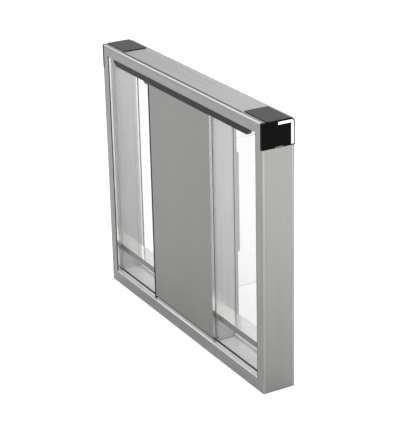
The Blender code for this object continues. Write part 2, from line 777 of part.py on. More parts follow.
def back_panel():
    place = upright(CABINET_DEPTH - BACK_PANEL_RECESS) @ Matrix.Rotation(math.pi, 4, "Y")
    made = tray("back_panel", door_outline(), BACK_PANEL_DEPTH, SHEET, place, "stainless")
    half = COLUMN_RADIUS + SLOT_CLEARANCE
    slots = []
    for low, high in ((CASE_BOTTOM, COVER_TOP), (BRACKET_BOTTOM, BRACKET_BOTTOM + BRACKET_HEIGHT)):
        slots.append(box("panel_slot", (-half, y_at(HOUSING_BACK), low - SLOT_CLEARANCE),
                         (half, CABINET_DEPTH / 2 + OVERRUN, high + SLOT_CLEARANCE)))
    return cut(made, *slots)


# Sensor covers and boards

def sensor_cover():
    """Dark window under the top rail with slanted ends, hollow behind for the board."""
    bottom_half = SENSOR_HALF - SENSOR_SLANT
    round_end = arc((bottom_half - SENSOR_CORNER_RADIUS, SENSOR_BOTTOM + SENSOR_CORNER_RADIUS),
                    SENSOR_CORNER_RADIUS, -90, -40)
    round_start = [(-x, z) for x, z in reversed(round_end)]
    outline = round_start + round_end + [(SENSOR_HALF, CEILING), (-SENSOR_HALF, CEILING)]
    middle = SENSOR_RECESS + SENSOR_DEPTH / 2
    made = slab("front_sensor_cover", [outline], SENSOR_DEPTH, upright(middle), "smoked")
    inset = bottom_half - SENSOR_CORNER_RADIUS
    hollow = box("sensor_hollow", (-inset, y_at(SENSOR_RECESS + SENSOR_WALL), SENSOR_BOTTOM + SENSOR_WALL),
                 (inset, y_at(SENSOR_BACK + OVERRUN), CEILING - SENSOR_WALL))
    cut(made, hollow)
    mirrored_front_to_back("back_sensor_cover", made, "smoked")


def sensor_board():
    """Long narrow board with a row of infrared emitters that look out through the cover."""
    half = SENSOR_HALF - SENSOR_SLANT - SENSOR_CORNER_RADIUS - GAP
    face = y_at(SENSOR_BACK - BOARD_THICKNESS)
    low = SENSOR_BOTTOM + SENSOR_WALL + GAP
    high = CEILING - SENSOR_WALL - GAP
    board = box("front_sensor_board", (-half, face, low), (half, y_at(SENSOR_BACK), high), "board")
    pitch = 2 * half / EMITTER_COUNT
    middle = (low + high) / 2
    inside = y_at(SENSOR_BACK - BOARD_THICKNESS / 2)
    lines = []
    for index in range(EMITTER_COUNT):
        x = -half + (index + 1 / 2) * pitch
        lines.append(((x, face - EMITTER_DEPTH, middle), (x, inside, middle)))
    join(board, rods("emitters", lines, EMITTER_RADIUS))
    mirrored_front_to_back("back_sensor_board", board, "board")


# Lid, corner caps, light strips and reader boards

def top_lid():
    near = y_at(LID_FRONT)
    far = y_at(CABINET_DEPTH - LID_FRONT)
    step = y_at(CAP_FRONT - GAP)
    side = HALF_LENGTH - CAP_LENGTH - GAP
    outline = [(-CORE_HALF_LENGTH, near), (CORE_HALF_LENGTH, near), (CORE_HALF_LENGTH, step), (side, step),
               (side, far), (-side, far), (-side, step), (-CORE_HALF_LENGTH, step)]
    return tray("top_lid", outline, LID_FLANGE - GAP, SHEET, lying(CABINET_HEIGHT), "stainless")


def light_outline(grow):
    """L-shaped outline in Y and Z on a cap's end face, grown by a clearance."""
    top = CABINET_HEIGHT - LIGHT_MARGIN + grow
    outer = CABINET_DEPTH / 2 - LIGHT_MARGIN + grow
    inner = outer - LIGHT_WIDTH - 2 * grow
    under = top - LIGHT_WIDTH - 2 * grow
    start = outer - LIGHT_ARM - 2 * grow
    low = CAP_BOTTOM + LIGHT_MARGIN - grow
    radius = LIGHT_CORNER_RADIUS + grow
    return [(start, under), (inner, under), (inner, low), (outer, low)] + arc(
        (outer - radius, top - radius), radius, 0, 90) + [(start, top)]


def reader_caps():
    for name, side in (("left", -1), ("right", 1)):
        inner = side * (HALF_LENGTH - CAP_LENGTH)
        outer = side * HALF_LENGTH
        far = CORE_HALF_DEPTH - GAP
        roof = rounded_rectangle((min(inner, outer), y_at(CAP_FRONT)), (max(inner, outer), far),
                                 (CAP_CORNER_RADIUS,) * 4)
        depth = CAP_PROUD + LID_FLANGE - GAP
        place = lying(CABINET_HEIGHT + CAP_PROUD)
        made = tray(f"{name}_reader_cap", roof, depth, CAP_WALL, place, "gloss_black")
        half = CABINET_DEPTH / 2
        plate = rounded_rectangle((-half, CAP_BOTTOM), (half, CABINET_HEIGHT),
                                  (0, CAP_SHOULDER_RADIUS, CAP_CORNER_RADIUS, 0))
        middle = side * (HALF_LENGTH - CAP_PLATE / 2)
        join(made, slab("end_plate", [plate], CAP_PLATE, crosswise(middle)))
        pocket = slab("light_pocket", [light_outline(GAP)], 2 * (LIGHT_DEPTH + GAP), crosswise(outer))
        cut(made, pocket)
        strip = side * (HALF_LENGTH - LIGHT_DEPTH / 2)
        slab(f"{name}_light_strip", [light_outline(0)], LIGHT_DEPTH, crosswise(strip), "light")


def reader_boards():
    """Card reader board on four standoffs under each cap."""
    level = CABINET_HEIGHT - READER_CLEARANCE
    floor = OPENING_TOP + CHANNEL_SHEET + GAP
    near = y_at(CAP_FRONT) + CAP_WALL + READER_MARGIN
    far = CORE_HALF_DEPTH - GAP - CAP_WALL - READER_MARGIN
    for name, side in (("left", -1), ("right", 1)):
        start = side * (HALF_LENGTH - CAP_LENGTH + CAP_WALL + READER_MARGIN)
        end = side * (HALF_LENGTH - CAP_PLATE - READER_MARGIN)
        low, high = min(start, end), max(start, end)
        board = box(f"{name}_reader_board", (low, near, level - BOARD_THICKNESS), (high, far, level), "board")
        inset = 2 * STANDOFF_RADIUS
        inside = level - BOARD_THICKNESS / 2
        corners = [(x, y) for x in (low + inset, high - inset) for y in (near + inset, far - inset)]
        join(board, rods("standoffs", [((x, y, floor), (x, y, inside)) for x, y in corners], STANDOFF_RADIUS))


# Drive: post, gear case, gears, motor, bearings, bracket

def involute(radius, base):
    """Angle that an involute has turned by at this radius."""
    angle = math.acos(min(1.0, base / radius))
    return math.tan(angle) - angle


def gear_outline(phase):
    """Spur gear teeth with involute flanks, their roots cut straight in from the base circle."""
    addendum_share = 0.95
    dedendum_share = 1.2
    flank_steps = 4
    base = GEAR_PITCH_RADIUS * math.cos(PRESSURE_ANGLE)
    tip = GEAR_PITCH_RADIUS + addendum_share * GEAR_MODULE
    root = GEAR_PITCH_RADIUS - dedendum_share * GEAR_MODULE
    half_tooth = (math.pi * GEAR_MODULE / 2 - GEAR_BACKLASH / 2) / (2 * GEAR_PITCH_RADIUS)
    at_pitch = involute(GEAR_PITCH_RADIUS, base)
    points = []
    for tooth in range(GEAR_TEETH):
        middle = phase + 2 * math.pi * tooth / GEAR_TEETH
        flank = []
        for step in range(flank_steps + 1):
            radius = base + (tip - base) * step / flank_steps
            flank.append((radius, half_tooth + at_pitch - involute(radius, base)))
        flank.insert(0, (root, flank[0][1]))
        for radius, angle in flank:
            points.append((radius * math.cos(middle - angle), radius * math.sin(middle - angle)))
        for radius, angle in reversed(flank):
            points.append((radius * math.cos(middle + angle), radius * math.sin(middle + angle)))
    return points


def gear(name, y, bore, phase, finish):
    hole = arc((0, 0), bore, 0, 360, ROUND_STEPS)[:-1]
    place = Matrix.Translation((0, y, GEAR_BOTTOM + GEAR_FACE / 2))
    return slab(name, [gear_outline(phase), hole], GEAR_FACE, place, finish)


def gears():
    """Three equal gears in a row: the pinion drives the idler and the idler drives the column."""
    towards_axis = math.pi / 2
    half_pitch = math.pi / GEAR_TEETH
    gear("column_gear", AXIS_Y, SHAFT_RADIUS + GAP, towards_axis, "steel")
    gear("idler_gear", IDLER_Y, IDLER_PIN_RADIUS + GEAR_BORE_CLEARANCE, towards_axis + half_pitch, "steel")
    pinion = gear("motor_pinion", MOTOR_Y, MOTOR_SHAFT_RADIUS / 2, towards_axis, "steel")
    shaft_low = CASE_BOTTOM - GAP
    join(pinion, rod("motor_shaft", (0, MOTOR_Y, shaft_low), (0, MOTOR_Y, MOTOR_SHAFT_TOP),
                     MOTOR_SHAFT_RADIUS, None, ROUND_STEPS))


def gear_case():
    half = COLUMN_RADIUS
    body = slab("gear_case", [bracket_outline(half, CASE_ROOT_Y)], CASE_HEIGHT,
                lying(CASE_BOTTOM + CASE_HEIGHT / 2), "aluminium")
    flange_half = POST_WIDTH / 2 - GAP
    flange = box("case_flange", (-flange_half, CASE_ROOT_Y, CASE_BOTTOM - CASE_FLANGE_RISE),
                 (flange_half, CASE_ROOT_Y + CASE_FLANGE, CASE_TOP + CASE_FLANGE_RISE))
    join(body, flange)
    inside = bracket_outline(half - CASE_WALL, CASE_ROOT_Y + CASE_WALL)
    hollow_low = CASE_BOTTOM + CASE_FLOOR
    cutter_height = CASE_HEIGHT - CASE_FLOOR + OVERRUN
    hollow = slab("case_hollow", [inside], cutter_height, lying(hollow_low + cutter_height / 2))
    shaft_hole = rod("case_shaft_hole", (0, MOTOR_Y, CASE_BOTTOM - OVERRUN),
                     (0, MOTOR_Y, hollow_low + OVERRUN), MOTOR_SHAFT_RADIUS + GAP, None, ROUND_STEPS)
    cut(body, hollow, shaft_hole)
    pin_low = CASE_BOTTOM + CASE_FLOOR / 2
    pin = rod("idler_pin", (0, IDLER_Y, pin_low), (0, IDLER_Y, CASE_TOP), IDLER_PIN_RADIUS, None, ROUND_STEPS)
    return join(body, pin)


def gear_case_cover():
    outline = bracket_outline(COLUMN_RADIUS, CASE_ROOT_Y + CASE_FLANGE + GAP)
    made = slab("gear_case_cover", [outline], CASE_COVER, lying(COVER_BOTTOM + CASE_COVER / 2), "aluminium")
    seat = rod("bearing_seat", (0, AXIS_Y, COVER_BOTTOM - OVERRUN), (0, AXIS_Y, COVER_TOP + OVERRUN),
               BEARING_RADIUS + GAP, None, ROUND_STEPS)
    hole = rod("cover_shaft_hole", (0, MOTOR_Y, COVER_BOTTOM - OVERRUN), (0, MOTOR_Y, COVER_TOP + OVERRUN),
               MOTOR_SHAFT_RADIUS + GAP, None, ROUND_STEPS)
    return cut(made, seat, hole)


def bearing(name, low):
    """Ball bearing seen closed: outer ring, shield groove and inner ring turned as one."""
    high = low + BEARING_WIDTH
    ring_share = 0.25
    groove = BEARING_GROOVE
    inner = SHAFT_RADIUS + GAP
    wide = BEARING_RADIUS
    ring = (wide - inner) * ring_share
    upper = [(inner, high), (inner + ring, high), (inner + ring, high - groove),
             (wide - ring, high - groove), (wide - ring, high), (wide, high)]
    lower = [(wide, low), (wide - ring, low), (wide - ring, low + groove),
             (inner + ring, low + groove), (inner + ring, low), (inner, low)]
    profile = upper + lower
    return turned(name, profile, (0, AXIS_Y, 0), "steel", ROUND_STEPS, closed=True)


def bearings():
    bearing("lower_bearing", COVER_TOP - BEARING_WIDTH)
    bearing("upper_bearing", BRACKET_BOTTOM)


def upper_bearing_bracket():
    high = BRACKET_BOTTOM + BRACKET_HEIGHT
    body = slab("upper_bearing_bracket", [bracket_outline(COLUMN_RADIUS, CASE_ROOT_Y)], BRACKET_HEIGHT,
                lying(BRACKET_BOTTOM + BRACKET_HEIGHT / 2), "aluminium")
    flange_half = POST_WIDTH / 2 - GAP
    flange = box("bracket_flange", (-flange_half, CASE_ROOT_Y, BRACKET_BOTTOM - CASE_FLANGE_RISE),
                 (flange_half, CASE_ROOT_Y + CASE_FLANGE, high + CASE_FLANGE_RISE))
    join(body, flange)
    seat = rod("upper_seat", (0, AXIS_Y, BRACKET_BOTTOM - OVERRUN),
               (0, AXIS_Y, BRACKET_BOTTOM + BEARING_WIDTH + GAP), BEARING_RADIUS + GAP, None, ROUND_STEPS)
    bore = rod("upper_bore", (0, AXIS_Y, BRACKET_BOTTOM), (0, AXIS_Y, SHAFT_TOP + GAP), SHAFT_RADIUS + GAP,
               None, ROUND_STEPS)
    return cut(body, seat, bore)


def drive_post():
    high = CEILING
    low = BASE_SHEET + GAP
    half = POST_WIDTH / 2
    front = POST_FRONT_Y
    outer = [(-half, front), (half, front), (half, POST_BACK_Y), (-half, POST_BACK_Y)]
    inner = [(-half + POST_WALL, front + POST_WALL), (half - POST_WALL, front + POST_WALL),
             (half - POST_WALL, POST_BACK_Y - POST_WALL), (-half + POST_WALL, POST_BACK_Y - POST_WALL)]
    return slab("drive_post", [outer, inner], high - low, lying((low + high) / 2), "steel")


def gearmotor():
    """Motor can, gearhead and mounting face below the gear case."""
    high = CASE_BOTTOM - GAP
    neck = high - GEARHEAD_LENGTH
    low = neck - MOTOR_LENGTH
    bore = MOTOR_SHAFT_RADIUS + GAP
    slim = MOTOR_RADIUS - SHEET
    seat = high - SLOT_CLEARANCE
    profile = [(0, seat - GAP), (bore, seat - GAP), (bore, high), (MOTOR_RADIUS, high), (MOTOR_RADIUS, neck),
               (slim, neck), (slim, low + MOTOR_RADIUS / 2), (MOTOR_RADIUS, low + MOTOR_RADIUS / 2),
               (MOTOR_RADIUS, low), (0, low)]
    return turned("gearmotor", profile, (0, MOTOR_Y, 0), "motor")


def position_disc():
    """Slotted disc on the motor shaft that the fork sensor reads."""
    hub_share = 3
    slot_share = 0.2
    slot_count = 4
    low = COVER_TOP + DISC_RISE
    bore = MOTOR_SHAFT_RADIUS + GAP
    hub_top = low + hub_share * DISC_THICKNESS
    top = low + DISC_THICKNESS
    profile = [(bore, hub_top), (DISC_HUB_RADIUS, hub_top), (DISC_HUB_RADIUS, top), (DISC_RADIUS, top),
               (DISC_RADIUS, low), (bore, low)]
    made = turned("position_disc", profile, (0, MOTOR_Y, 0), "aluminium", ROUND_STEPS, closed=True)
    slots = []
    for turn in range(slot_count):
        angle = 2 * math.pi * (turn + 1 / 2) / slot_count
        x = DISC_RADIUS * math.cos(angle)
        y = MOTOR_Y + DISC_RADIUS * math.sin(angle)
        slots.append(rod("disc_slot", (x, y, low - OVERRUN), (x, y, low + OVERRUN), DISC_RADIUS * slot_share))
    return cut(made, *slots)


def position_sensor():
    """Fork sensor on the case cover, around the disc's edge."""
    width_share = 2 / 3
    half = DISC_HUB_RADIUS * width_share
    near = CASE_ROOT_Y + CASE_FLANGE + 2 * GAP
    low = COVER_TOP + GAP
    disc_low = COVER_TOP + DISC_RISE
    high = disc_low + DISC_THICKNESS + DISC_RISE / 2
    far = MOTOR_Y - DISC_HUB_RADIUS - SHEET
    body = box("position_sensor", (-half, near, low), (half, far, high), "motor")
    slot = box("sensor_slot", (-half - OVERRUN, MOTOR_Y - DISC_RADIUS - SHEET / 2, disc_low - SHEET),
               (half + OVERRUN, far + OVERRUN, disc_low + DISC_THICKNESS + SHEET))
    return cut(body, slot)


# Wing: column with its clamp, shaft, glass, pads and bolts

def wing_column():
    """Tube with plugs at both ends and two cheeks that hold the glass."""
    wide = COLUMN_RADIUS
    bore = SHAFT_RADIUS + GAP
    hollow = wide - COLUMN_WALL
    profile = [(bore, COLUMN_TOP), (wide, COLUMN_TOP), (wide, COLUMN_BOTTOM), (bore, COLUMN_BOTTOM),
               (bore, COLUMN_BOTTOM + COLUMN_PLUG), (hollow, COLUMN_BOTTOM + COLUMN_PLUG),
               (hollow, COLUMN_TOP - COLUMN_PLUG), (bore, COLUMN_TOP - COLUMN_PLUG)]
    made = turned("wing_column", profile, (0, AXIS_Y, 0), "stainless", ROUND_STEPS, closed=True)
    inner = GLASS_THICKNESS / 2 + PAD_THICKNESS + 2 * GAP
    root = AXIS_Y + COLUMN_RADIUS - COLUMN_WALL / 2 - CLAMP_PLATE / 2
    cheeks = []
    for side in (-1, 1):
        outline = rounded_rectangle((root, COLUMN_BOTTOM), (AXIS_Y + CLAMP_REACH, COLUMN_TOP),
                                    (CLAMP_CORNER_RADIUS, CLAMP_CORNER_RADIUS, 0, 0))
        middle = side * (inner + CLAMP_PLATE / 2)
        cheeks.append(slab("clamp_cheek", [outline], CLAMP_PLATE, crosswise(middle)))
    join(made, *cheeks)
    return cut(made, *clamp_bolt_cutters())


def clamp_bolt_levels():
    return (COLUMN_BOTTOM + CLAMP_BOLT_INSET, COLUMN_TOP - CLAMP_BOLT_INSET)


def clamp_bolt_y():
    return AXIS_Y + (GLASS_INNER + CLAMP_REACH) / 2


def clamp_bolt_cutters():
    reach = GLASS_THICKNESS / 2 + PAD_THICKNESS + CLAMP_PLATE + OVERRUN
    radius = CLAMP_BOLT_RADIUS + CLAMP_BOLT_CLEARANCE
    y = clamp_bolt_y()
    return [rod("clamp_bolt_hole", (-reach, y, level), (reach, y, level), radius)
            for level in clamp_bolt_levels()]


def wing_glass():
    outline = rounded_rectangle((AXIS_Y + GLASS_INNER, GLASS_BOTTOM), (AXIS_Y + GLASS_REACH, GLASS_TOP),
                                (GLASS_CORNER_RADIUS, GLASS_CORNER_RADIUS, 0, 0))
    made = slab("wing_glass", [outline], GLASS_THICKNESS, crosswise(0), "glass")
    return cut(made, *clamp_bolt_cutters())


def clamp_pad():
    """Rubber strip folded round the glass's inner edge, between the cheeks."""
    half = GLASS_THICKNESS / 2 + GAP
    near = AXIS_Y + GLASS_INNER - GAP
    far = AXIS_Y + CLAMP_REACH
    wide = half + PAD_THICKNESS
    outline = [(-wide, near - PAD_THICKNESS), (wide, near - PAD_THICKNESS), (wide, far), (half, far),
               (half, near), (-half, near), (-half, far), (-wide, far)]
    place = lying((COLUMN_BOTTOM + COLUMN_TOP) / 2)
    made = slab("clamp_pad", [outline], COLUMN_TOP - COLUMN_BOTTOM, place, "rubber")
    return cut(made, *clamp_bolt_cutters())


def clamp_bolts():
    """Through bolts with a low head on each side."""
    face = GLASS_THICKNESS / 2 + PAD_THICKNESS + 2 * GAP + CLAMP_PLATE + GAP
    outside = face + CLAMP_BOLT_HEAD
    y = clamp_bolt_y()
    for name, level in zip(("lower_clamp_bolt", "upper_clamp_bolt"), clamp_bolt_levels()):
        head = rod(name, (face, y, level), (outside, y, level), CLAMP_BOLT_HEAD_RADIUS, "steel")
        nut = rod("clamp_nut", (-outside, y, level), (-face, y, level), CLAMP_BOLT_HEAD_RADIUS)
        inside = face + CLAMP_BOLT_HEAD / 2
        join(head, rod("clamp_shank", (-inside, y, level), (inside, y, level), CLAMP_BOLT_RADIUS), nut)


def column_shaft():
    radius = SHAFT_RADIUS
    profile = [(0, SHAFT_TOP), (radius - GAP, SHAFT_TOP), (radius, SHAFT_TOP - GAP),
               (radius, SHAFT_BOTTOM + GAP), (radius - GAP, SHAFT_BOTTOM), (0, SHAFT_BOTTOM)]
    return turned("column_shaft", profile, (0, AXIS_Y, 0), "steel")


# Electronics on the equipment plate

def equipment():
    wall = -(HOUSING_HALF - SHEET - GAP)
    post = -(POST_WIDTH / 2 + GAP)
    near = EQUIPMENT_BACK_Y - EQUIPMENT_FLANGE
    profile = [(wall, near), (wall, EQUIPMENT_BACK_Y), (post, EQUIPMENT_BACK_Y), (post, near)]
    folded("equipment_plate", profile, SHEET, lying((EQUIPMENT_BOTTOM + EQUIPMENT_TOP) / 2),
           EQUIPMENT_TOP - EQUIPMENT_BOTTOM, "aluminium", 1.0)
    middle = (wall + post) / 2
    face = EQUIPMENT_BACK_Y - SHEET - GAP
    controller(middle, face)
    power_supply(middle, face)


def controller(middle, face):
    """Control board with relays, terminal blocks, a processor and capacitors."""
    half = CONTROLLER_WIDTH / 2
    top = CONTROLLER_BOTTOM + CONTROLLER_HEIGHT
    back = face - CONTROLLER_STANDOFF
    front = back - BOARD_THICKNESS
    inside = (front + back) / 2
    board = box("controller_board", (middle - half, front, CONTROLLER_BOTTOM), (middle + half, back, top),
                "board")
    inset = 2 * STANDOFF_RADIUS
    for x in (middle - half + inset, middle + half - inset):
        for z in (CONTROLLER_BOTTOM + inset, top - inset):
            join(board, rod("board_standoff", (x, inside, z), (x, face, z), STANDOFF_RADIUS))
    relay = RELAY_DEPTH
    terminal_count = 5
    pitch = CONTROLLER_WIDTH / (terminal_count + 1)
    wide = pitch / 3
    relay_top = top - relay * 3 / 2
    for index in range(terminal_count):
        x = middle - half + (index + 1) * pitch
        join(board, box("terminal", (x - wide, front - relay / 2, CONTROLLER_BOTTOM + relay),
                        (x + wide, inside, CONTROLLER_BOTTOM + 2 * relay)))
        if index < terminal_count - 1:
            join(board, box("relay", (x - wide, front - relay, top - 3 * relay),
                            (x + wide, inside, relay_top)))
    centre = CONTROLLER_BOTTOM + CONTROLLER_HEIGHT / 2
    join(board, box("processor", (middle - relay, front - SHEET, centre - relay),
                    (middle + relay, inside, centre + relay)))
    for x in (middle - half / 2, middle + half / 2):
        join(board, rod("capacitor", (x, front - relay, centre), (x, inside, centre), relay / 2))


def power_supply(middle, face):
    slot_share = 2 / 3
    half = SUPPLY_WIDTH / 2
    slot_half = half * slot_share
    top = SUPPLY_BOTTOM + SUPPLY_HEIGHT
    front = SUPPLY_FRONT_Y
    body = box("power_supply", (middle - half, front, SUPPLY_BOTTOM), (middle + half, face, top), "aluminium")
    pitch = SUPPLY_HEIGHT / (SUPPLY_SLOTS + 1)
    for index in range(SUPPLY_SLOTS):
        z = SUPPLY_BOTTOM + (index + 1) * pitch
        cut(body, box("vent_slot", (middle - slot_half, front - OVERRUN, z - SUPPLY_SLOT_HEIGHT / 2),
                      (middle + slot_half, front + SUPPLY_SLOT_DEPTH, z + SUPPLY_SLOT_HEIGHT / 2)))
    return body


def build():
    frames()
    base_channel()
    end_posts()
    end_covers()
    top_channel()
    sills()
    gaskets()
    panes()
    trays()
    crossbeams()
    drive_housing()
    service_door()
    seals()
    pivots()
    back_panel()
    sensor_cover()
    sensor_board()
    top_lid()
    reader_caps()
    reader_boards()
    gears()
    gear_case()
    gear_case_cover()
    bearings()
    upper_bearing_bracket()
    drive_post()
    gearmotor()
    position_disc()
    position_sensor()
    column_shaft()
    wing_column()
    wing_glass()
    clamp_pad()
    clamp_bolts()
    equipment()


clear_scene()
PART = collection("swing_barrier_turnstile")
CUTTERS = collection("cutters")
build()
bpy.context.view_layer.update()
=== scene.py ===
"""Looks of the swing barrier turnstile: finishes, trims, fasteners, light and camera. Metres, +Z up."""
import json
import math

import bmesh
import bpy
from mathutils import Matrix, Vector


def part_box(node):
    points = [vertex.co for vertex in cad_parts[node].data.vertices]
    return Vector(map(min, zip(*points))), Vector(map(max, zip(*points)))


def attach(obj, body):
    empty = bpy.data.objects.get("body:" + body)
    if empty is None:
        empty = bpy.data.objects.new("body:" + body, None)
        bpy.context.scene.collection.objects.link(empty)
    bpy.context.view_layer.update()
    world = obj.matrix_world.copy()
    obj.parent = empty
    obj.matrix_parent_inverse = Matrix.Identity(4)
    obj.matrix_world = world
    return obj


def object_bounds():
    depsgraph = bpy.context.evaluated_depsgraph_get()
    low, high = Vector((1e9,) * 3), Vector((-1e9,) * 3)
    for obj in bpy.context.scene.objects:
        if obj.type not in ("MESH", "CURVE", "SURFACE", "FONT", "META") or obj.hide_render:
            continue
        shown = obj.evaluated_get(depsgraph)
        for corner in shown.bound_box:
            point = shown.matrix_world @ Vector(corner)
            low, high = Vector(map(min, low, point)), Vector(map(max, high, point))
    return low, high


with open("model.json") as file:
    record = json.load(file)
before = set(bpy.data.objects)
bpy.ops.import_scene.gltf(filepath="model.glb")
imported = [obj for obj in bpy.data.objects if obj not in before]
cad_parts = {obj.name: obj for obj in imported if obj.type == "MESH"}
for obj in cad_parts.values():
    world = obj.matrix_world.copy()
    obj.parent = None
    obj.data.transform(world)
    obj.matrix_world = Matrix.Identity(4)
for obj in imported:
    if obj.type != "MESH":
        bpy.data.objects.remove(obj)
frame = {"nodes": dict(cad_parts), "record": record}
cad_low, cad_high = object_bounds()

RECORD = frame["record"]
NODES = frame["nodes"]

# Camera, fitted to the cabinet's corners
IMAGE_WIDTH = 400
IMAGE_HEIGHT = 426
CAMERA_PLACE = (4.65533, -2.56817, 2.61331)
CAMERA_YAW = 1.06248
CAMERA_PITCH = 0.38094
CAMERA_ROLL = -0.02362
FOCAL_PIXELS = 1504.2
SENSOR = 36.0

# Studio: each lamp has its place, its width and height, and its power in watts
FLOOR_HALF = 7.0
FLOOR_COLOUR = (0.72, 0.72, 0.72)
FLOOR_GLOW = 0.55
GLOW_DEPTHS = (0.0, 0.9)
GLOW_SHARES = (0.15, 1.0)
SKY_DIFFUSE = 0.92
LAMPS = {
    "overhead": ((-1.2, 1.6, 2.4), (2.0, 1.5), 4),
    "right": ((3.6, 1.6, 2.2), (3.4, 3.4), 40),
    "left": ((-3.0, -3.0, 2.6), (3.4, 3.4), 24),
}

# Colours, as linear values
STEEL = (0.4, 0.4, 0.393)
# Door and end-cover steel: the same stainless, painted darker as shade
STEEL_DOOR_SHADED = (0.35, 0.35, 0.344)
# Lid steel: the same stainless, painted a little darker as shade
STEEL_LID_SHADED = (0.36, 0.36, 0.356)
# Wall steel: the same stainless, painted lighter as light
STEEL_WALL_LIT = (0.54, 0.54, 0.533)
# Pale steel for painted highlights and painted light
STEEL_PAINTED_LIGHT = (0.9, 0.9, 0.89)
ZINC = (0.5, 0.51, 0.52)
CAST = (0.62, 0.63, 0.64)
GLASS_FACE = (0.66, 0.68, 0.675)
GLASS_EDGE = (0.4, 0.47, 0.44)
GLASS_TOP_LIT = (0.95, 0.96, 0.955)
ENAMEL = (0.9, 0.9, 0.89)
BLACK_GLOSS = (0.003, 0.003, 0.0032)
CAP_TOP_SHEEN = (0.03, 0.03, 0.032)
SMOKE = (0.007, 0.007, 0.0072)
RUBBER = (0.014, 0.014, 0.014)
RUBBER_GREY = (0.13, 0.13, 0.13)
SILICONE = (0.62, 0.63, 0.62)
DIFFUSER = (0.93, 0.93, 0.92)
SOLDER_MASK = (0.015, 0.12, 0.05)
COPPER = (0.05, 0.24, 0.09)
RELAY_BLUE = (0.02, 0.05, 0.16)
CHIP_BLACK = (0.01, 0.01, 0.011)
POWDER = (0.03, 0.03, 0.033)

# Roughness, plain or over the range of a pattern
ROUGH_STEEL = 0.36
ROUGH_WALL = 0.34
ROUGH_TRIM = 0.3
ROUGH_DARK = 0.4
ROUGH_CAST = 0.45
BRUSH_ROUGH_HALF = 0.05
TOOL_ROUGH_HALF = 0.08
SMUDGE_ROUGH = (-0.02, 0.03)
WIPE_ROUGH = (0.02, 0.07)
HAIR_ROUGH = (0.12, 0.22)
HAZE_ROUGH = (0.0, 0.06)
SMOKE_ROUGH = (0.18, 0.3)
RUBBER_ROUGH = (0.6, 0.8)
SILICONE_ROUGH = (0.35, 0.5)
BOARD_ROUGH = (0.3, 0.45)
POWDER_ROUGH = (0.38, 0.52)

# Glow of the light strip between and over its diodes, along a sine wave
SINE_RANGE = (-1.0, 1.0)
DIODE_GLOW = (0.24, 0.32)

# Sizes of the finishes' patterns
BRUSH_FINE = 0.0007
BRUSH_COARSE = 0.008
BRUSH_DEPTH = 0.00003
SMUDGE = 0.14
TOOL_MARK = 0.0012
TOOL_DEPTH = 0.00006
CAST_CLOUD = 0.018
DUST = 0.045
WIPE = 0.06
HAIR = 0.0009
HAZE = 0.025
HAZE_DEPTH = 0.00002
PORE = 0.0008
PORE_DEPTH = 0.0001
BLOOM = 0.03
DIODE_PITCH = 0.008
FROST = 0.0006
FROST_DEPTH = 0.00005
TRACK = 0.022
TRACK_DEPTH = 0.00005
PEEL = 0.0011
PEEL_DEPTH = 0.00012

# Shares of a colour, of a metal look, and of what a glass sheet hides
# Share of the steel's colour on the crossbeams: painted darker as shade
BEAM_SHADE_SHARE = 0.6
DARK_SHEET_SHARE = 0.45
# Share of the pale steel painted as a highlight on the door's lock-side face
DOOR_HIGHLIGHT_SHARE = 0.55
METAL_SHARES = (0.86, 1.1)
SMOKE_SHARES = (0.7, 1.4)
RUBBER_SHARES = (0.7, 1.5)
SILICONE_SHARES = (0.92, 1.08)
STREAK_LEVEL_SHARE = 0.99
SMUDGE_SHARE = 0.03
LEDGE_METAL_SHARE = 0.25
GLASS_COVER_SHARE = 0.02
GLASS_RIM_SHARE = 0.15
GLASS_EDGE_SHARE = 0.14
WING_EDGE_SHARE = 0.5
DUST_SHARES = (0.0, 0.008)

# How the patterns stretch and mix
STREAK_SHARE = 0.02
STREAKS = {"x": (STREAK_SHARE, 1.0, 1.0), "z": (1.0, 1.0, STREAK_SHARE)}
HAIR_SHARE = 0.08
HAZE_SHARE = 0.3
MORTAR_SHARE = 0.03
EVEN_SHARE = 0.5

# The part of a noise's range that each finish uses, and the shifts that keep noises apart
NOISE_RANGE = (0.3, 0.7)
SMUDGE_RANGE = (0.35, 0.65)
DUST_RANGE = (0.45, 0.75)
WIPE_RANGE = (0.4, 0.7)
HAIR_RANGE = (0.55, 0.75)
HAZE_RANGE = (0.35, 0.7)
COARSE_SHIFT = 0.31
SMUDGE_SHIFT = 2.7
CLOUD_SHIFT = 1.1
WIPE_SHIFT = 0.9
HAZE_SHIFT = 1.9

# Limits on a surface's direction, as shares of facing an axis squarely
SQUARE_ON_SHARE = 0.8
BEND_SHARE = 0.25
LEDGE_SHARE = 0.3
TURNED_SHARE = 0.5

# Places of the finishes' masks
FACE_SKIN = 0.001
RING_DOT_RADIUS = 0.003
RING_DOT_OUT = 0.0035
RING_DOT_DROP = 0.0025
DOOR_EDGE_SEAL = 0.0038
NOTCH_LEFT = -0.012
NOTCH_RIGHT = 0.019
NOTCH_LOW = 0.0022
NOTCH_HIGH = 0.0042
SHEEN_INSET = 0.005
ENAMEL_HEIGHT = 0.0045
BOARD_STACK = 0.0076
COMPONENT_RISE = 0.0002
RELAY_BAND = 0.037
TERMINAL_BAND = 0.026
CHIP_HALF = 0.0125

# Trims that the solids leave to the scene, among them strips of painted shade and painted light
TRIM_CLEARANCE = 0.0002
RING_DEPTH = 0.012
# Black strips on the posts' inner lips: painted shade
POST_SHADE_DEPTH = 0.0042
POST_SHADE_THICKNESS = 0.0008
POST_SHADE_SETBACK = 0.0006
LID_TAPE_DROP = 0.0005
LID_TAPE_HEIGHT = 0.009
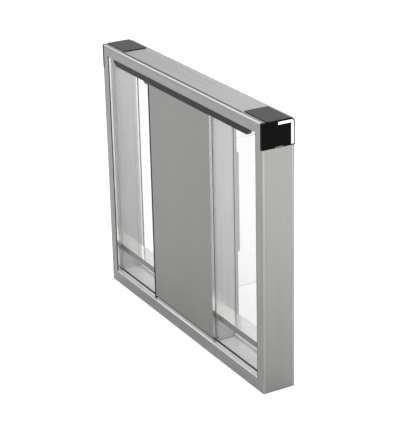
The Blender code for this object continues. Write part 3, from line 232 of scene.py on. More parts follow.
# Lip of the front tape over the lid's edge: painted shade of the gap
SHADE_LIP_REACH = 0.001
SHADE_LIP_RISE = 0.0004
BEAD_WIDTH = 0.0018
BEAD_HEIGHT = 0.0007
ARM_REACH = 0.0355
ARM_TAB = 0.028
ARM_DROP = 0.0063
ARM_DEPTH = 0.0094
CATCH_GAP = 0.0022
CATCH_WIDTH = 0.004
CATCH_DROP = 0.006
# Pale strip under the door: painted light
SILL_LIGHT_FRONT = 0.0003
SILL_LIGHT_DEPTH = 0.009
SILL_LIGHT_HEIGHT = 0.0125

# Fasteners that the solids leave to the scene
RIVET_RADIUS = 0.0028
RIVET_RISE = 0.0006
RIVET_SETBACK = 0.03
RIVET_HEIGHT = 0.0145
SCREW_RADIUS = 0.0035
SCREW_RISE = 0.0018
SMALL_SCREW_RADIUS = 0.0024
SMALL_SCREW_RISE = 0.0014
CLAMP_CAP_RADIUS = 0.0054
CLAMP_CAP_RISE = 0.0013
PANEL_SCREW_INSET = 0.0095
FLANGE_HALF_STEP = 0.02
FLANGE_SCREW_INSET = 0.0095
FLANGE_THICKNESS = 0.005
COVER_SCREW_INSET = 0.0042
COVER_SCREW_DEGREES = (0, 45, 135, 180)
BOARD_SCREW_INSET = 0.006
CHAMFER_SHARE = 0.75
RIM_SHARE = 0.5
SOCKET_SHARE = 0.5
SOCKET_DEPTH_SHARE = 0.6
SOCKET_SIDES = 6
SCREW_STEPS = 24
RIVET_STEPS = 16


# Node helpers

class Tree:
    """Short calls that build a material's or the world's node tree."""

    def __init__(self, owner):
        owner.use_nodes = True
        self.tree = owner.node_tree
        self.tree.nodes.clear()

    def add(self, kind, **settings):
        """A new node with these settings."""
        made = self.tree.nodes.new(kind)
        for name, value in settings.items():
            setattr(made, name, value)
        return made

    def feed(self, socket, source):
        """Link a socket, or set it to a plain value."""
        if isinstance(source, bpy.types.NodeSocket):
            self.tree.links.new(source, socket)
        else:
            socket.default_value = source

    def maths(self, operation, first, second=0.0):
        """Output of one maths node."""
        made = self.add("ShaderNodeMath", operation=operation)
        self.feed(made.inputs[0], first)
        self.feed(made.inputs[1], second)
        return made.outputs[0]

    def above(self, value, limit):
        """One where a value is over a limit."""
        return self.maths("GREATER_THAN", value, limit)

    def below(self, value, limit):
        """One where a value is under a limit."""
        return self.maths("LESS_THAN", value, limit)

    def size_of(self, value):
        """A value without its sign."""
        return self.maths("ABSOLUTE", value)

    def every(self, *masks):
        """One where all of these masks are one."""
        product = masks[0]
        for mask in masks[1:]:
            product = self.maths("MULTIPLY", product, mask)
        return product

    def within(self, value, low, high):
        """One where a value lies between two limits."""
        return self.every(self.above(value, low), self.below(value, high))

    def squared(self, value, middle):
        """Square of a value's distance from a middle."""
        away = self.maths("SUBTRACT", value, middle)
        return self.maths("MULTIPLY", away, away)

    def remap(self, value, old, new):
        """A value's old range of two limits, mapped on a new range."""
        made = self.add("ShaderNodeMapRange")
        for socket, number in zip(made.inputs, (value, *old, *new)):
            self.feed(socket, number)
        return made.outputs[0]

    def spread(self, noise, new):
        """A noise's usual range, mapped on a new range."""
        return self.remap(noise, NOISE_RANGE, new)

    def mix(self, factor, first, second):
        """Colour between two, by a factor."""
        made = self.add("ShaderNodeMix", data_type="RGBA")
        self.feed(made.inputs["Factor"], factor)
        self.feed(made.inputs[6], first if isinstance(first, bpy.types.NodeSocket) else (*first, 1.0))
        self.feed(made.inputs[7], second if isinstance(second, bpy.types.NodeSocket) else (*second, 1.0))
        return made.outputs[2]

    def blend(self, factor, first, second):
        """Number between two, by a factor."""
        made = self.add("ShaderNodeMix", data_type="FLOAT")
        self.feed(made.inputs["Factor"], factor)
        self.feed(made.inputs[2], first)
        self.feed(made.inputs[3], second)
        return made.outputs[0]

    def place(self):
        """The surface's place, in the object's own axes."""
        return self.add("ShaderNodeTexCoord").outputs["Object"]

    def axes(self):
        """The surface's three coordinates."""
        split = self.add("ShaderNodeSeparateXYZ")
        self.feed(split.inputs[0], self.place())
        return split.outputs[:3]

    def facing(self):
        """The three parts of the surface's direction, in the object's own axes."""
        split = self.add("ShaderNodeSeparateXYZ")
        self.feed(split.inputs[0], self.add("ShaderNodeTexCoord").outputs["Normal"])
        return split.outputs[:3]

    def noise(self, size, stretch=(1.0, 1.0, 1.0), detail=3.0, seed_shift=0.0):
        """Noise whose features measure about this size, longer along an axis with a small stretch share."""
        mapping = self.add("ShaderNodeMapping")
        self.feed(mapping.inputs["Vector"], self.place())
        mapping.inputs["Scale"].default_value = stretch
        mapping.inputs["Location"].default_value = (seed_shift, seed_shift, seed_shift)
        made = self.add("ShaderNodeTexNoise")
        self.feed(made.inputs["Vector"], mapping.outputs[0])
        made.inputs["Scale"].default_value = 1.0 / size
        made.inputs["Detail"].default_value = detail
        return made.outputs[0]

    def bump(self, height, distance, strength):
        """Surface direction, bent by a height."""
        made = self.add("ShaderNodeBump")
        self.feed(made.inputs["Height"], height)
        made.inputs["Distance"].default_value = distance
        made.inputs["Strength"].default_value = strength
        return made.outputs[0]

    def surface(self, **sockets):
        """Principled shader with the named sockets set or linked, on the output."""
        shader = self.add("ShaderNodeBsdfPrincipled")
        for name, value in sockets.items():
            socket = shader.inputs[name.replace("_", " ")]
            if not isinstance(value, bpy.types.NodeSocket) and socket.type == "RGBA":
                value = (*value, 1.0)
            self.feed(socket, value)
        output = self.add("ShaderNodeOutputMaterial")
        self.feed(output.inputs[0], shader.outputs[0])


def material(name):
    """A new material and the helper for its nodes."""
    made = bpy.data.materials.new(name)
    return made, Tree(made)


def shaded(colour, share):
    """The colour scaled by a share, to at most white."""
    return tuple(min(1.0, part * share) for part in colour)


def mottled(tree, noise, colour, shares):
    """The colour from its darkest to its palest share, by a noise."""
    dark, pale = shares
    return tree.mix(noise, shaded(colour, dark), shaded(colour, pale))


# Steel finishes

def grain(tree, axis):
    """Fine and coarse brush lines that run along an axis."""
    fine = tree.noise(BRUSH_FINE, STREAKS[axis], detail=2.0)
    coarse = tree.noise(BRUSH_COARSE, STREAKS[axis], detail=3.0, seed_shift=COARSE_SHIFT)
    return tree.blend(EVEN_SHARE, fine, coarse)


def brushed(tree, colour, lines, roughness, painted_light=0.0, painted_light_colour=STEEL_PAINTED_LIGHT, metallic=1.0, contrast=0.1):
    """Brushed metal with smudges, from a height of brush lines, in a painted highlight colour, and
    smoother, where the painted light mask is one.
    """
    smudge = tree.noise(SMUDGE, detail=4.0, seed_shift=SMUDGE_SHIFT)
    streak = tree.spread(lines, (STREAK_LEVEL_SHARE - contrast, STREAK_LEVEL_SHARE + contrast))
    cloud = tree.spread(smudge, (1.0 - SMUDGE_SHARE, 1.0 + SMUDGE_SHARE))
    shade = tree.add("ShaderNodeVectorMath", operation="SCALE")
    tree.feed(shade.inputs[0], tree.mix(painted_light, colour, painted_light_colour))
    tree.feed(shade.inputs["Scale"], tree.maths("MULTIPLY", streak, cloud))
    brushed_rough = tree.spread(lines, (roughness - BRUSH_ROUGH_HALF, roughness + BRUSH_ROUGH_HALF))
    rough = tree.maths("ADD", brushed_rough, tree.remap(smudge, SMUDGE_RANGE, SMUDGE_ROUGH))
    rough = tree.blend(painted_light, rough, roughness / 2)
    tree.surface(Base_Color=shade.outputs[0], Metallic=metallic, Roughness=rough,
                 Normal=tree.bump(lines, BRUSH_DEPTH, strength=0.4))


def stainless(axis, colour=STEEL, roughness=ROUGH_STEEL, name="stainless", metallic=1.0, contrast=0.1):
    """Plain brushed sheet, its lines along one axis."""
    made, tree = material(f"{name}_{axis}")
    brushed(tree, colour, grain(tree, axis), roughness, metallic=metallic, contrast=contrast)
    return made


def ring_dots(tree, aside, z, across, opening, head):
    """Mask of a dark screw at each upper corner of a frame ring's opening."""
    sideways = tree.squared(aside, opening + RING_DOT_OUT)
    upright = tree.squared(z, head - RING_DOT_DROP)
    distance = tree.maths("SQRT", tree.maths("ADD", sideways, upright))
    square_on = tree.above(tree.size_of(across), SQUARE_ON_SHARE)
    return tree.every(tree.below(distance, RING_DOT_RADIUS), square_on)


def ring_stainless():
    """Frame ring: lines along its posts and rails, painted highlights on its upper bends, painted light on
    the posts' inner lips and the low ledges, dark screws in the upper corners.
    """
    made, tree = material("stainless_ring")
    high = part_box("front_frame")[1]
    opening = -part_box("left_end_post")[1].x
    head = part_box("front_sensor_cover")[1].z
    x, _, z = tree.axes()
    aside = tree.size_of(x)
    from_side = tree.maths("SUBTRACT", high.x, aside)
    from_end = tree.maths("MINIMUM", z, tree.maths("SUBTRACT", high.z, z))
    post = tree.below(from_side, from_end)
    lines = tree.blend(post, grain(tree, "x"), grain(tree, "z"))
    sideways, across, upward = tree.facing()
    # Painted highlights on the upper bends; painted light on the inward lips and on the low up-facing
    # ledges, which are also less metallic
    bend = tree.above(tree.size_of(tree.maths("MULTIPLY", across, upward)), BEND_SHARE)
    upper_bend = tree.every(bend, tree.above(z, head))
    inward = tree.above(tree.size_of(sideways), SQUARE_ON_SHARE)
    lip = tree.every(inward, tree.below(aside, opening + FACE_SKIN))
    ledge = tree.every(tree.above(upward, LEDGE_SHARE), tree.below(z, high.z / 2))
    painted_light = tree.maths("MAXIMUM", upper_bend, tree.maths("MAXIMUM", lip, ledge))
    steel = tree.mix(ring_dots(tree, aside, z, across, opening, head), STEEL, BLACK_GLOSS)
    metallic = tree.blend(ledge, 1.0, LEDGE_METAL_SHARE)
    brushed(tree, steel, lines, ROUGH_STEEL, painted_light, metallic=metallic, contrast=0.2)
    return made


def door_stainless():
    """Door sheet: brushed upright in steel painted darker as shade, with a painted highlight on its
    lock-side face and a black edge by the pivots.
    """
    made, tree = material("stainless_door")
    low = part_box("service_door")[0]
    # Painted highlight on the face turned to the lock side
    rim = tree.above(tree.facing()[0], SQUARE_ON_SHARE)
    seal = tree.below(tree.axes()[0], low.x + DOOR_EDGE_SEAL)
    steel = tree.mix(seal, STEEL_DOOR_SHADED, RUBBER)
    bright = shaded(STEEL_PAINTED_LIGHT, DOOR_HIGHLIGHT_SHARE)
    brushed(tree, steel, grain(tree, "z"), ROUGH_STEEL, rim, bright, contrast=0.07)
    return made


def beam_stainless():
    """Crossbeam tube: brushed lengthways, in steel painted darker as shade, with painted light on its top.
    """
    made, tree = material("stainless_beam")
    top = tree.above(tree.facing()[2], SQUARE_ON_SHARE)
    brushed(tree, shaded(STEEL, BEAM_SHADE_SHARE), grain(tree, "x"), ROUGH_TRIM, top, STEEL_PAINTED_LIGHT)
    return made


def machined(name, colour, roughness):
    """Turned, milled or cast metal with a cloudy tone."""
    made, tree = material(name)
    fine = tree.noise(TOOL_MARK, detail=3.0)
    cloud = tree.noise(CAST_CLOUD, detail=4.0, seed_shift=CLOUD_SHIFT)
    marks = tree.blend(EVEN_SHARE, fine, cloud)
    rough = tree.spread(marks, (roughness - TOOL_ROUGH_HALF, roughness + TOOL_ROUGH_HALF))
    tree.surface(Base_Color=mottled(tree, cloud, colour, METAL_SHARES), Metallic=1.0, Roughness=rough,
                 Normal=tree.bump(fine, TOOL_DEPTH, strength=0.4))
    return made


# Glass, plastics and rubber

def glass(name, axis_of_face, edge_share=GLASS_EDGE_SHARE, foot_band=0.0):
    """Clear sheet: thin over its faces, deeper at its cut edges, with painted light on its up-facing edges
    and a pale enamel band up to a height.
    """
    made, tree = material(name)
    facing = tree.facing()
    edge = tree.below(tree.size_of(facing[axis_of_face]), TURNED_SHARE)
    # Up-facing cut edges: pale, painted light
    top = tree.above(facing[2], TURNED_SHARE)
    rim = tree.maths("MULTIPLY", tree.add("ShaderNodeFresnel").outputs[0], GLASS_RIM_SHARE)
    dust = tree.remap(tree.noise(DUST, detail=5.0), DUST_RANGE, DUST_SHARES)
    cover = tree.maths("ADD", tree.maths("ADD", GLASS_COVER_SHARE, rim), dust)
    band = tree.below(tree.axes()[2], foot_band)
    alpha = tree.blend(band, tree.blend(edge, cover, edge_share), 1.0)
    colour = tree.mix(edge, GLASS_FACE, tree.mix(top, GLASS_EDGE, GLASS_TOP_LIT))
    colour = tree.mix(band, colour, ENAMEL)
    rough = tree.remap(tree.noise(WIPE, detail=4.0, seed_shift=WIPE_SHIFT), WIPE_RANGE, WIPE_ROUGH)
    tree.surface(Base_Color=colour, Roughness=rough, Alpha=alpha)
    return made


def release_notch(tree, low):
    """Mask of the thin bright slot near the lower edge of a cap's end face."""
    x, y, z = tree.axes()
    outside = tree.above(tree.size_of(x), cad_high.x - FACE_SKIN)
    return tree.every(outside, tree.within(y, NOTCH_LEFT, NOTCH_RIGHT),
                      tree.within(z, low + NOTCH_LOW, low + NOTCH_HIGH))


def painted_cap_sheen(tree, low, high):
    """Mask of the painted sheen on a cap's top: slightly paler, inside a black rim."""
    x, y, z = tree.axes()
    return tree.every(tree.within(tree.size_of(x), low.x + SHEEN_INSET, high.x - SHEEN_INSET),
                      tree.within(y, low.y + SHEEN_INSET, high.y - SHEEN_INSET),
                      tree.above(z, high.z - FACE_SKIN))


def gloss_black():
    """Polished moulded plastic with hair scratches, a painted sheen on the cap tops and a bright release
    slot.
    """
    made, tree = material("gloss_black")
    low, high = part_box("right_reader_cap")
    hair = tree.noise(HAIR, (1.0, HAIR_SHARE, 1.0), detail=3.0)
    haze = tree.noise(HAZE, detail=4.0, seed_shift=HAZE_SHIFT)
    scratches = tree.remap(hair, HAIR_RANGE, HAIR_ROUGH)
    rough = tree.maths("ADD", scratches, tree.remap(haze, HAZE_RANGE, HAZE_ROUGH))
    # Paler middle of each cap's top: painted sheen
    colour = tree.mix(painted_cap_sheen(tree, low, high), BLACK_GLOSS, CAP_TOP_SHEEN)
    colour = tree.mix(release_notch(tree, low.z), colour, STEEL)
    tree.surface(Base_Color=colour, Roughness=rough, Specular_IOR_Level=0.04,
                 Normal=tree.bump(haze, HAZE_DEPTH, strength=0.3))
    return made


def smoked():
    """Dark infrared window with a faint haze."""
    made, tree = material("smoked_window")
    haze = tree.noise(HAZE, (HAZE_SHARE, 1.0, 1.0), detail=4.0)
    colour = mottled(tree, haze, SMOKE, SMOKE_SHARES)
    tree.surface(Base_Color=colour, Roughness=tree.spread(haze, SMOKE_ROUGH), Specular_IOR_Level=0.25,
                 Normal=tree.bump(haze, HAZE_DEPTH, strength=0.3))
    return made


def rubber_surface(tree, colour):
    """Matt, finely pored surface of a rubber in this colour."""
    pores = tree.noise(PORE, detail=2.0)
    tree.surface(Base_Color=colour, Roughness=tree.spread(pores, RUBBER_ROUGH), Specular_IOR_Level=0.3,
                 Normal=tree.bump(pores, PORE_DEPTH, strength=0.4))


def rubber():
    """Black rubber with a faint bloom."""
    made, tree = material("rubber")
    bloom = tree.noise(BLOOM, detail=3.0)
    rubber_surface(tree, mottled(tree, bloom, RUBBER, RUBBER_SHARES))
    return made


def door_rubber():
    """Door seal: black beside the pivots, dark grey on the lock side."""
    made, tree = material("door_rubber")
    lock_side = tree.above(tree.axes()[0], 0.0)
    rubber_surface(tree, tree.mix(lock_side, RUBBER, RUBBER_GREY))
    return made


def silicone():
    """Pale clear sealing strip."""
    made, tree = material("silicone")
    bloom = tree.noise(BLOOM, detail=3.0)
    colour = mottled(tree, bloom, SILICONE, SILICONE_SHARES)
    tree.surface(Base_Color=colour, Roughness=tree.spread(bloom, SILICONE_ROUGH))
    return made


def light_strip():
    """Opal diffuser that glows white, a little brighter over each diode behind it."""
    made, tree = material("light_strip")
    _, y, z = tree.axes()
    along = tree.maths("ADD", y, z)
    wave = tree.maths("SINE", tree.maths("MULTIPLY", along, math.tau / DIODE_PITCH))
    level = tree.remap(wave, SINE_RANGE, DIODE_GLOW)
    frost = tree.noise(FROST, detail=2.0)
    tree.surface(Base_Color=DIFFUSER, Roughness=0.5, Emission_Color=DIFFUSER, Emission_Strength=level,
                 Normal=tree.bump(frost, FROST_DEPTH, strength=0.2))
    return made


def powder_coat():
    """Black powder coat with an orange-peel surface."""
    made, tree = material("powder_coat")
    peel = tree.noise(PEEL, detail=3.0)
    tree.surface(Base_Color=POWDER, Roughness=tree.spread(peel, POWDER_ROUGH),
                 Normal=tree.bump(peel, PEEL_DEPTH, strength=0.5))
    return made


# Circuit boards

def tracks_colour(tree):
    """Solder mask over copper tracks: the colour and the tracks' height."""
    tracks = tree.add("ShaderNodeTexBrick")
    tree.feed(tracks.inputs["Vector"], tree.place())
    tracks.inputs["Scale"].default_value = 1 / TRACK
    tracks.inputs["Mortar Size"].default_value = MORTAR_SHARE
    return tree.mix(tracks.outputs["Fac"], SOLDER_MASK, COPPER), tracks.outputs["Fac"]


def board_surface(tree, colour, height):
    """Satin surface of a board in this colour, raised by a height."""
    fine = tree.noise(TOOL_MARK, detail=2.0)
    tree.surface(Base_Color=colour, Roughness=tree.spread(fine, BOARD_ROUGH),
                 Normal=tree.bump(height, TRACK_DEPTH, strength=0.5))


def circuit_board():
    """Plain board with its tracks."""
    made, tree = material("circuit_board")
    board_surface(tree, *tracks_colour(tree))
    return made


def controller_board():
    """Control board: blue relays at the top, green terminals at the foot, black chip, grey capacitors."""
    made, tree = material("controller_board")
    low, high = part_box("controller_board")
    colour, height = tracks_colour(tree)
    x, y, z = tree.axes()
    raised = tree.below(y, high.y - BOARD_STACK - COMPONENT_RISE)
    relay = tree.above(z, high.z - RELAY_BAND)
    terminal = tree.below(z, low.z + TERMINAL_BAND)
    from_middle = tree.size_of(tree.maths("SUBTRACT", x, (low.x + high.x) / 2))
    chip = tree.below(from_middle, CHIP_HALF)
    part = tree.mix(chip, ZINC, CHIP_BLACK)
    part = tree.mix(terminal, part, COPPER)
    part = tree.mix(relay, part, RELAY_BLUE)
    board_surface(tree, tree.mix(raised, colour, part), height)
    return made


# Which finish goes on which node

DARK_SHEET = stainless("x", shaded(STEEL, DARK_SHEET_SHARE), ROUGH_DARK, "dark_stainless")
# Sills and trays: pale, barely metallic steel, painted lighter as light
LIT_SHEET = stainless("x", STEEL_PAINTED_LIGHT, ROUGH_TRIM, "painted_light_stainless", metallic=0.15)
# Walls and end posts: steel painted lighter as light
LIT_WALL_SHEET = stainless("z", STEEL_WALL_LIT, ROUGH_WALL, "lit_wall_stainless")
CLEAR_SEAL = silicone()
FINISH_OF_SLOT = {
    "brushed_stainless": stainless("z"),
    "machined_steel": machined("machined_steel", ZINC, ROUGH_STEEL),
    "cast_aluminium": machined("cast_aluminium", CAST, ROUGH_CAST),
    "glass": glass("pane_glass", 1),
    "rubber": rubber(),
    "gloss_black": gloss_black(),
    "smoked_cover": smoked(),
    "light_strip": light_strip(),
    "circuit_board": circuit_board(),
    "black_housing": powder_coat(),
}
NODES_OF_FINISH = (
    (ring_stainless(), ("front_frame", "back_frame")),
    (door_stainless(), ("service_door",)),
    # Lid: steel painted a little darker as shade
    (stainless("x", STEEL_LID_SHADED, ROUGH_WALL, "lid_stainless", contrast=0.24), ("top_lid",)),
    (stainless("x"), ("top_channel",)),
    (LIT_SHEET, ("front_glass_sill", "back_glass_sill", "left_bay_tray", "right_bay_tray")),
    (LIT_WALL_SHEET, ("drive_housing", "left_end_post", "right_end_post")),
    # End covers: steel painted darker as shade, as on the door
    (stainless("z", STEEL_DOOR_SHADED, name="cover_stainless", contrast=0.05),
     ("left_end_cover", "right_end_cover")),
    (beam_stainless(), ("left_crossbeam", "right_crossbeam")),
    (glass("back_pane_glass", 1, foot_band=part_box("back_glass_sill")[1].z + ENAMEL_HEIGHT),
     ("left_back_pane", "right_back_pane")),
    (glass("wing_glass", 0, edge_share=WING_EDGE_SHARE), ("wing_glass",)),
    (CLEAR_SEAL, ("back_glass_gasket",)),
    (door_rubber(), ("door_seal",)),
    (controller_board(), ("controller_board",)),
)


def dress_cad_nodes():
    """Give every node its own finish or that of its slot."""
    own = {node: finish for finish, nodes in NODES_OF_FINISH for node in nodes}
    slots = {part["node"]: part["material_slot"] for part in RECORD["subparts"]}
    for name, piece in NODES.items():
        piece.data.materials.clear()
        piece.data.materials.append(own.get(name, FINISH_OF_SLOT[slots[name]]))


# Meshes of the added pieces

def add_box(work, low, high):
    """Upright box from its low to its high corner: a unit cube, scaled and moved."""
    size = Vector(high) - Vector(low)
    middle = (Vector(high) + Vector(low)) / 2
    bmesh.ops.create_cube(work, size=1.0, matrix=Matrix.Translation(middle) @ Matrix.Diagonal((*size, 1.0)))


def add_disc(work, place, radius, rise):
    """Short cylinder that stands on the placing matrix's plane."""
    bmesh.ops.create_cone(work, cap_ends=True, segments=RIVET_STEPS, radius1=radius, radius2=radius,
                          depth=rise, matrix=place @ Matrix.Translation((0, 0, rise / 2)))


def add_screw(work, place, radius, rise):
    """Button head with a chamfered rim and a hexagon socket, standing on the placing matrix's plane."""
    half_side = math.pi / SOCKET_SIDES

    def round_head(angle):
        return radius

    def chamfer(angle):
        return radius * CHAMFER_SHARE

    def socket(angle):
        return radius * SOCKET_SHARE * math.cos(half_side) / math.cos(angle % (2 * half_side) - half_side)

    def ring(reach, height):
        points = []
        for step in range(SCREW_STEPS):
            angle = math.tau * step / SCREW_STEPS
            away = reach(angle)
            point = Vector((away * math.cos(angle), away * math.sin(angle), height))
            points.append(work.verts.new(place @ point))
        return points

    rings = [ring(round_head, 0.0), ring(round_head, rise * RIM_SHARE), ring(chamfer, rise),
             ring(socket, rise), ring(socket, rise * (1 - SOCKET_DEPTH_SHARE))]
    for outer, inner in zip(rings, rings[1:]):
        for step in range(SCREW_STEPS):
            other = (step + 1) % SCREW_STEPS
            work.faces.new((outer[step], outer[other], inner[other], inner[step]))
    work.faces.new(list(reversed(rings[0])))
    work.faces.new(rings[-1])


def added(name, make, slot, finish=None, body="cabinet"):
    """One added piece: its mesh comes from a bmesh recipe, and it rides on a CAD body."""
    mesh = bpy.data.meshes.new(name)
    work = bmesh.new()
    make(work)
    work.to_mesh(mesh)
    work.free()
    piece = bpy.data.objects.new(name, mesh)
    bpy.context.scene.collection.objects.link(piece)
    mesh.materials.append(finish or FINISH_OF_SLOT[slot])
    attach(piece, body)


def span(first, second):
    """Low and high corner of the upright box between two opposite corners."""
    return tuple(map(min, first, second)), tuple(map(max, first, second))


def boxes(name, spans, slot, finish=None):
    """One piece made of upright boxes, each from its low to its high corner."""
    def make(work):
        for low, high in spans:
            add_box(work, low, high)
    added(name, make, slot, finish)


def screws(name, places, radius, rise, body="cabinet"):
    """One piece made of equal button heads, one at each placing matrix."""
    def make(work):
        for place in places:
            add_screw(work, place, radius, rise)
    added(name, make, "machined_steel", body=body)


def towards(axis, sign, point):
    """Placing matrix at a point with its Z axis along one world axis."""
    direction = Vector((0, 0, 0))
    direction["xyz".index(axis)] = sign
    return Matrix.Translation(point) @ direction.to_track_quat("Z", "Y").to_matrix().to_4x4()


def depth_half():
    """Half of the cabinet's depth over both frame rings."""
    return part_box("back_frame")[1].y


# Trims of the frame rings, the lid, the bays and the door, among them strips of painted shade and painted
# light

def post_shade_strips():
    """Black strips on the posts' inner lips, at the front and at the back: painted shade of the gap there.
    """
    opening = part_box("left_end_post")[1].x
    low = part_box("left_bay_tray")[1].z
    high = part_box("front_sensor_cover")[1].z
    spans = []
    for side in (-1, 1):
        lip = -side * opening
        edge = lip - side * POST_SHADE_THICKNESS
        for face in (-1, 1):
            outer = face * (depth_half() - POST_SHADE_SETBACK)
            inner = outer - face * POST_SHADE_DEPTH
            spans.append(span((lip, outer, low), (edge, inner, high)))
    boxes("post_shade_strips", spans, "rubber")


def lid_tapes():
    """Sealing tapes between the lid and the frame rings: pale behind, black in front, where the tape's
    black also paints the shade of the gap, with a lip of painted shade over the lid's front edge.
    """
    low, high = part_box("top_lid")
    ring = depth_half() - RING_DEPTH - TRIM_CLEARANCE
    lid = high.y + TRIM_CLEARANCE
    top = high.z - LID_TAPE_DROP
    foot = top - LID_TAPE_HEIGHT
    lip = high.z + TRIM_CLEARANCE
    lip_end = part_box("right_reader_cap")[0].x - TRIM_CLEARANCE
    front_tape = ((low.x, -ring, foot), (high.x, -lid, top))
    shade_lip = ((-lip_end, -ring - SHADE_LIP_REACH, lip),
                 (lip_end, -lid + SHADE_LIP_REACH, lip + SHADE_LIP_RISE))
    boxes("front_lid_tape_and_shade", [front_tape, shade_lip], "rubber")
    boxes("back_lid_tape", [((low.x, lid, foot), (high.x, ring, top))], "rubber", CLEAR_SEAL)


def wall_beads():
    """Sealant beads where the trays meet the drive housing's walls."""
    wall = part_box("drive_housing")[1].x
    low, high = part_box("right_bay_tray")
    spans = []
    for side in (-1, 1):
        far = side * (wall + BEAD_WIDTH)
        spans.append(span((side * wall, low.y, high.z), (far, high.y, high.z + BEAD_HEIGHT)))
    boxes("wall_beads", spans, "rubber")


def hinge_arm():
    """Folded arm that steadies the upper pivot bracket, with a tab below it."""
    low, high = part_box("upper_pivot_bracket")
    left = low.x - ARM_REACH
    back = low.y + ARM_DEPTH
    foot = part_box("service_door")[1].z + TRIM_CLEARANCE
    arm = ((left, low.y, foot), (low.x - TRIM_CLEARANCE, back, high.z))
    tab = ((left, low.y, foot - ARM_DROP), (left + ARM_TAB, back, foot))
    boxes("hinge_arm", [arm, tab], "brushed_stainless", DARK_SHEET)


def door_catch():
    """Small catch at the upper corner of the door's lock side."""
    low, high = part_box("service_door")
    near = high.x + CATCH_GAP
    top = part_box("upper_pivot_bracket")[1].z
    catch = ((near, low.y, top - CATCH_DROP), (near + CATCH_WIDTH, low.y + ARM_DEPTH, top))
    boxes("door_catch", [catch], "machined_steel")


def door_sill_light():
    """Pale strip on the sill under the closed door: painted light where the door's shade falls."""
    low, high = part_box("service_door")
    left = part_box("lower_pivot_bracket")[1].x + CATCH_GAP
    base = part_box("front_glass_sill")[1].z + TRIM_CLEARANCE
    front = low.y - SILL_LIGHT_FRONT
    strip = ((left, front, base), (high.x, front + SILL_LIGHT_DEPTH, base + SILL_LIGHT_HEIGHT))
    boxes("door_sill_light", [strip], "brushed_stainless", LIT_WALL_SHEET)


# Fasteners

def wall_rivets():
    """Blind rivets low on the drive housing's walls, near its four edges."""
    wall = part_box("drive_housing")[1].x
    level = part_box("right_bay_tray")[1].z + RIVET_HEIGHT
    depth = depth_half() - RIVET_SETBACK

    def make(work):
        for side in (-1, 1):
            for face in (-1, 1):
                place = towards("x", side, (side * wall, face * depth, level))
                add_disc(work, place, RIVET_RADIUS, RIVET_RISE)
    added("wall_rivets", make, "rubber")


def back_panel_screws():
    """Screws at the top, middle and foot of the back panel's two sides."""
    low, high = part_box("back_panel")
    levels = (low.z + PANEL_SCREW_INSET, (low.z + high.z) / 2, high.z - PANEL_SCREW_INSET)
    sides = (low.x + PANEL_SCREW_INSET, high.x - PANEL_SCREW_INSET)
    places = [towards("y", 1, (x, high.y, z)) for x in sides for z in levels]
    screws("back_panel_screws", places, SCREW_RADIUS, SCREW_RISE)


def flange_screws():
    """Screws that hold the gear case and the upper bearing bracket to the drive post."""
    places = []
    for node in ("gear_case", "upper_bearing_bracket"):
        low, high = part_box(node)
        for x in (-FLANGE_HALF_STEP, FLANGE_HALF_STEP):
            for z in (low.z + FLANGE_SCREW_INSET, high.z - FLANGE_SCREW_INSET):
                places.append(towards("y", 1, (x, low.y + FLANGE_THICKNESS, z)))
    screws("flange_screws", places, SCREW_RADIUS, SCREW_RISE)


def case_cover_screws():
    """Screws round the end of the gear case cover, outside the lower bearing."""
    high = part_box("gear_case_cover")[1]
    reach = high.x - COVER_SCREW_INSET
    axis = high.y - high.x
    places = []
    for degrees in COVER_SCREW_DEGREES:
        angle = math.radians(degrees)
        point = (reach * math.cos(angle), axis + reach * math.sin(angle), high.z)
        places.append(towards("z", 1, point))
    screws("case_cover_screws", places, SMALL_SCREW_RADIUS, SMALL_SCREW_RISE)


def clamp_bolt_caps():
    """Socket caps on both ends of the clamp bolts, which swing with the wing."""
    places = []
    for node in ("lower_clamp_bolt", "upper_clamp_bolt"):
        low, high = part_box(node)
        middle = (low + high) / 2
        for side, end in ((1, high.x), (-1, low.x)):
            places.append(towards("x", side, (end, middle.y, middle.z)))
    screws("clamp_bolt_caps", places, CLAMP_CAP_RADIUS, CLAMP_CAP_RISE, "wing")


def controller_screws():
    """Screws at the controller board's four corners."""
    low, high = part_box("controller_board")
    face = high.y - BOARD_STACK
    inset = BOARD_SCREW_INSET
    places = [towards("y", -1, (x, face, z)) for x in (low.x + inset, high.x - inset)
              for z in (low.z + inset, high.z - inset)]
    screws("controller_screws", places, SMALL_SCREW_RADIUS, SMALL_SCREW_RISE)


# Studio

def shows_background(tree, floor_y=None):
    """One for rays that show the background: from the camera, through glass and off gloss."""
    path = tree.add("ShaderNodeLightPath").outputs
    gloss = path["Is Glossy Ray"]
    if floor_y is not None:
        share = tree.remap(floor_y, GLOW_DEPTHS, GLOW_SHARES)
        gloss = tree.maths("MULTIPLY", gloss, share)
    direct = tree.maths("ADD", path["Is Camera Ray"], path["Is Transmission Ray"])
    return tree.maths("MINIMUM", tree.maths("ADD", direct, gloss), 1.0)


def studio_world():
    """Even sky that lights the object and reads as white behind it."""
    world = bpy.data.worlds.new("studio")
    bpy.context.scene.world = world
    tree = Tree(world)
    sky = tree.add("ShaderNodeBackground")
    sky.inputs["Color"].default_value = (1.0, 1.0, 1.0, 1.0)
    tree.feed(sky.inputs["Strength"], tree.blend(shows_background(tree), SKY_DIFFUSE, 1.0))
    tree.feed(tree.add("ShaderNodeOutputWorld").inputs[0], sky.outputs[0])


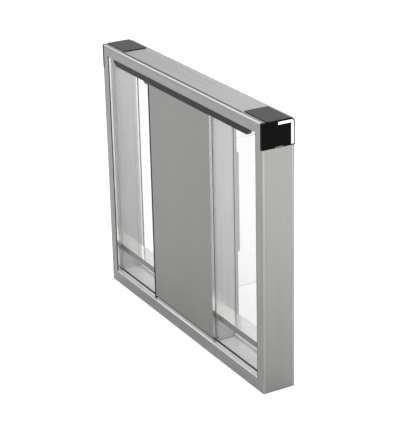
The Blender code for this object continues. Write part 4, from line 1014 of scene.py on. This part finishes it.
def floor_finish():
    """Pale floor that keeps the shadow and reads as white around it."""
    made, tree = material("floor")
    diffuse = tree.add("ShaderNodeBsdfDiffuse")
    diffuse.inputs["Color"].default_value = (*FLOOR_COLOUR, 1.0)
    glow = tree.add("ShaderNodeEmission")
    shown = shows_background(tree, tree.axes()[1])
    tree.feed(glow.inputs["Strength"], tree.maths("MULTIPLY", shown, FLOOR_GLOW))
    both = tree.add("ShaderNodeAddShader")
    tree.feed(both.inputs[0], diffuse.outputs[0])
    tree.feed(both.inputs[1], glow.outputs[0])
    tree.feed(tree.add("ShaderNodeOutputMaterial").inputs[0], both.outputs[0])
    return made


def studio_floor():
    """Square floor under the object."""
    mesh = bpy.data.meshes.new("floor")
    work = bmesh.new()
    bmesh.ops.create_grid(work, x_segments=1, y_segments=1, size=FLOOR_HALF)
    work.to_mesh(mesh)
    work.free()
    floor = bpy.data.objects.new("floor", mesh)
    bpy.context.scene.collection.objects.link(floor)
    mesh.materials.append(floor_finish())


def studio_lamps():
    """Rectangular lamps, each turned to the middle of the object."""
    target = (cad_low + cad_high) / 2
    for name, (place, (width, height), power) in LAMPS.items():
        data = bpy.data.lights.new(name, "AREA")
        data.shape = "RECTANGLE"
        data.size = width
        data.size_y = height
        data.energy = power
        lamp = bpy.data.objects.new(name, data)
        bpy.context.scene.collection.objects.link(lamp)
        lamp.location = place
        lamp.rotation_euler = (target - Vector(place)).to_track_quat("-Z", "Y").to_euler()


def camera():
    """Camera at the photograph's place: it looks along the cabinet from its front right."""
    cos_yaw = math.cos(CAMERA_YAW)
    sin_yaw = math.sin(CAMERA_YAW)
    cos_pitch = math.cos(CAMERA_PITCH)
    sin_pitch = math.sin(CAMERA_PITCH)
    forward = Vector((-sin_yaw * cos_pitch, cos_yaw * cos_pitch, -sin_pitch))
    level = Vector((cos_yaw, sin_yaw, 0.0))
    upward = level.cross(forward)
    right = math.cos(CAMERA_ROLL) * level + math.sin(CAMERA_ROLL) * upward
    up = -math.sin(CAMERA_ROLL) * level + math.cos(CAMERA_ROLL) * upward
    data = bpy.data.cameras.new("camera")
    data.sensor_width = SENSOR
    data.lens = FOCAL_PIXELS * SENSOR / max(IMAGE_WIDTH, IMAGE_HEIGHT)
    made = bpy.data.objects.new("camera", data)
    bpy.context.scene.collection.objects.link(made)
    turned = Matrix((right, up, -forward)).transposed().to_4x4()
    made.matrix_world = Matrix.Translation(CAMERA_PLACE) @ turned
    bpy.context.scene.camera = made


dress_cad_nodes()

post_shade_strips()
lid_tapes()
wall_beads()
wall_rivets()
hinge_arm()
door_catch()
door_sill_light()
back_panel_screws()
flange_screws()
case_cover_screws()
clamp_bolt_caps()
controller_screws()

studio_world()
studio_floor()
studio_lamps()
camera()
bpy.context.scene.view_settings.view_transform = "Standard"
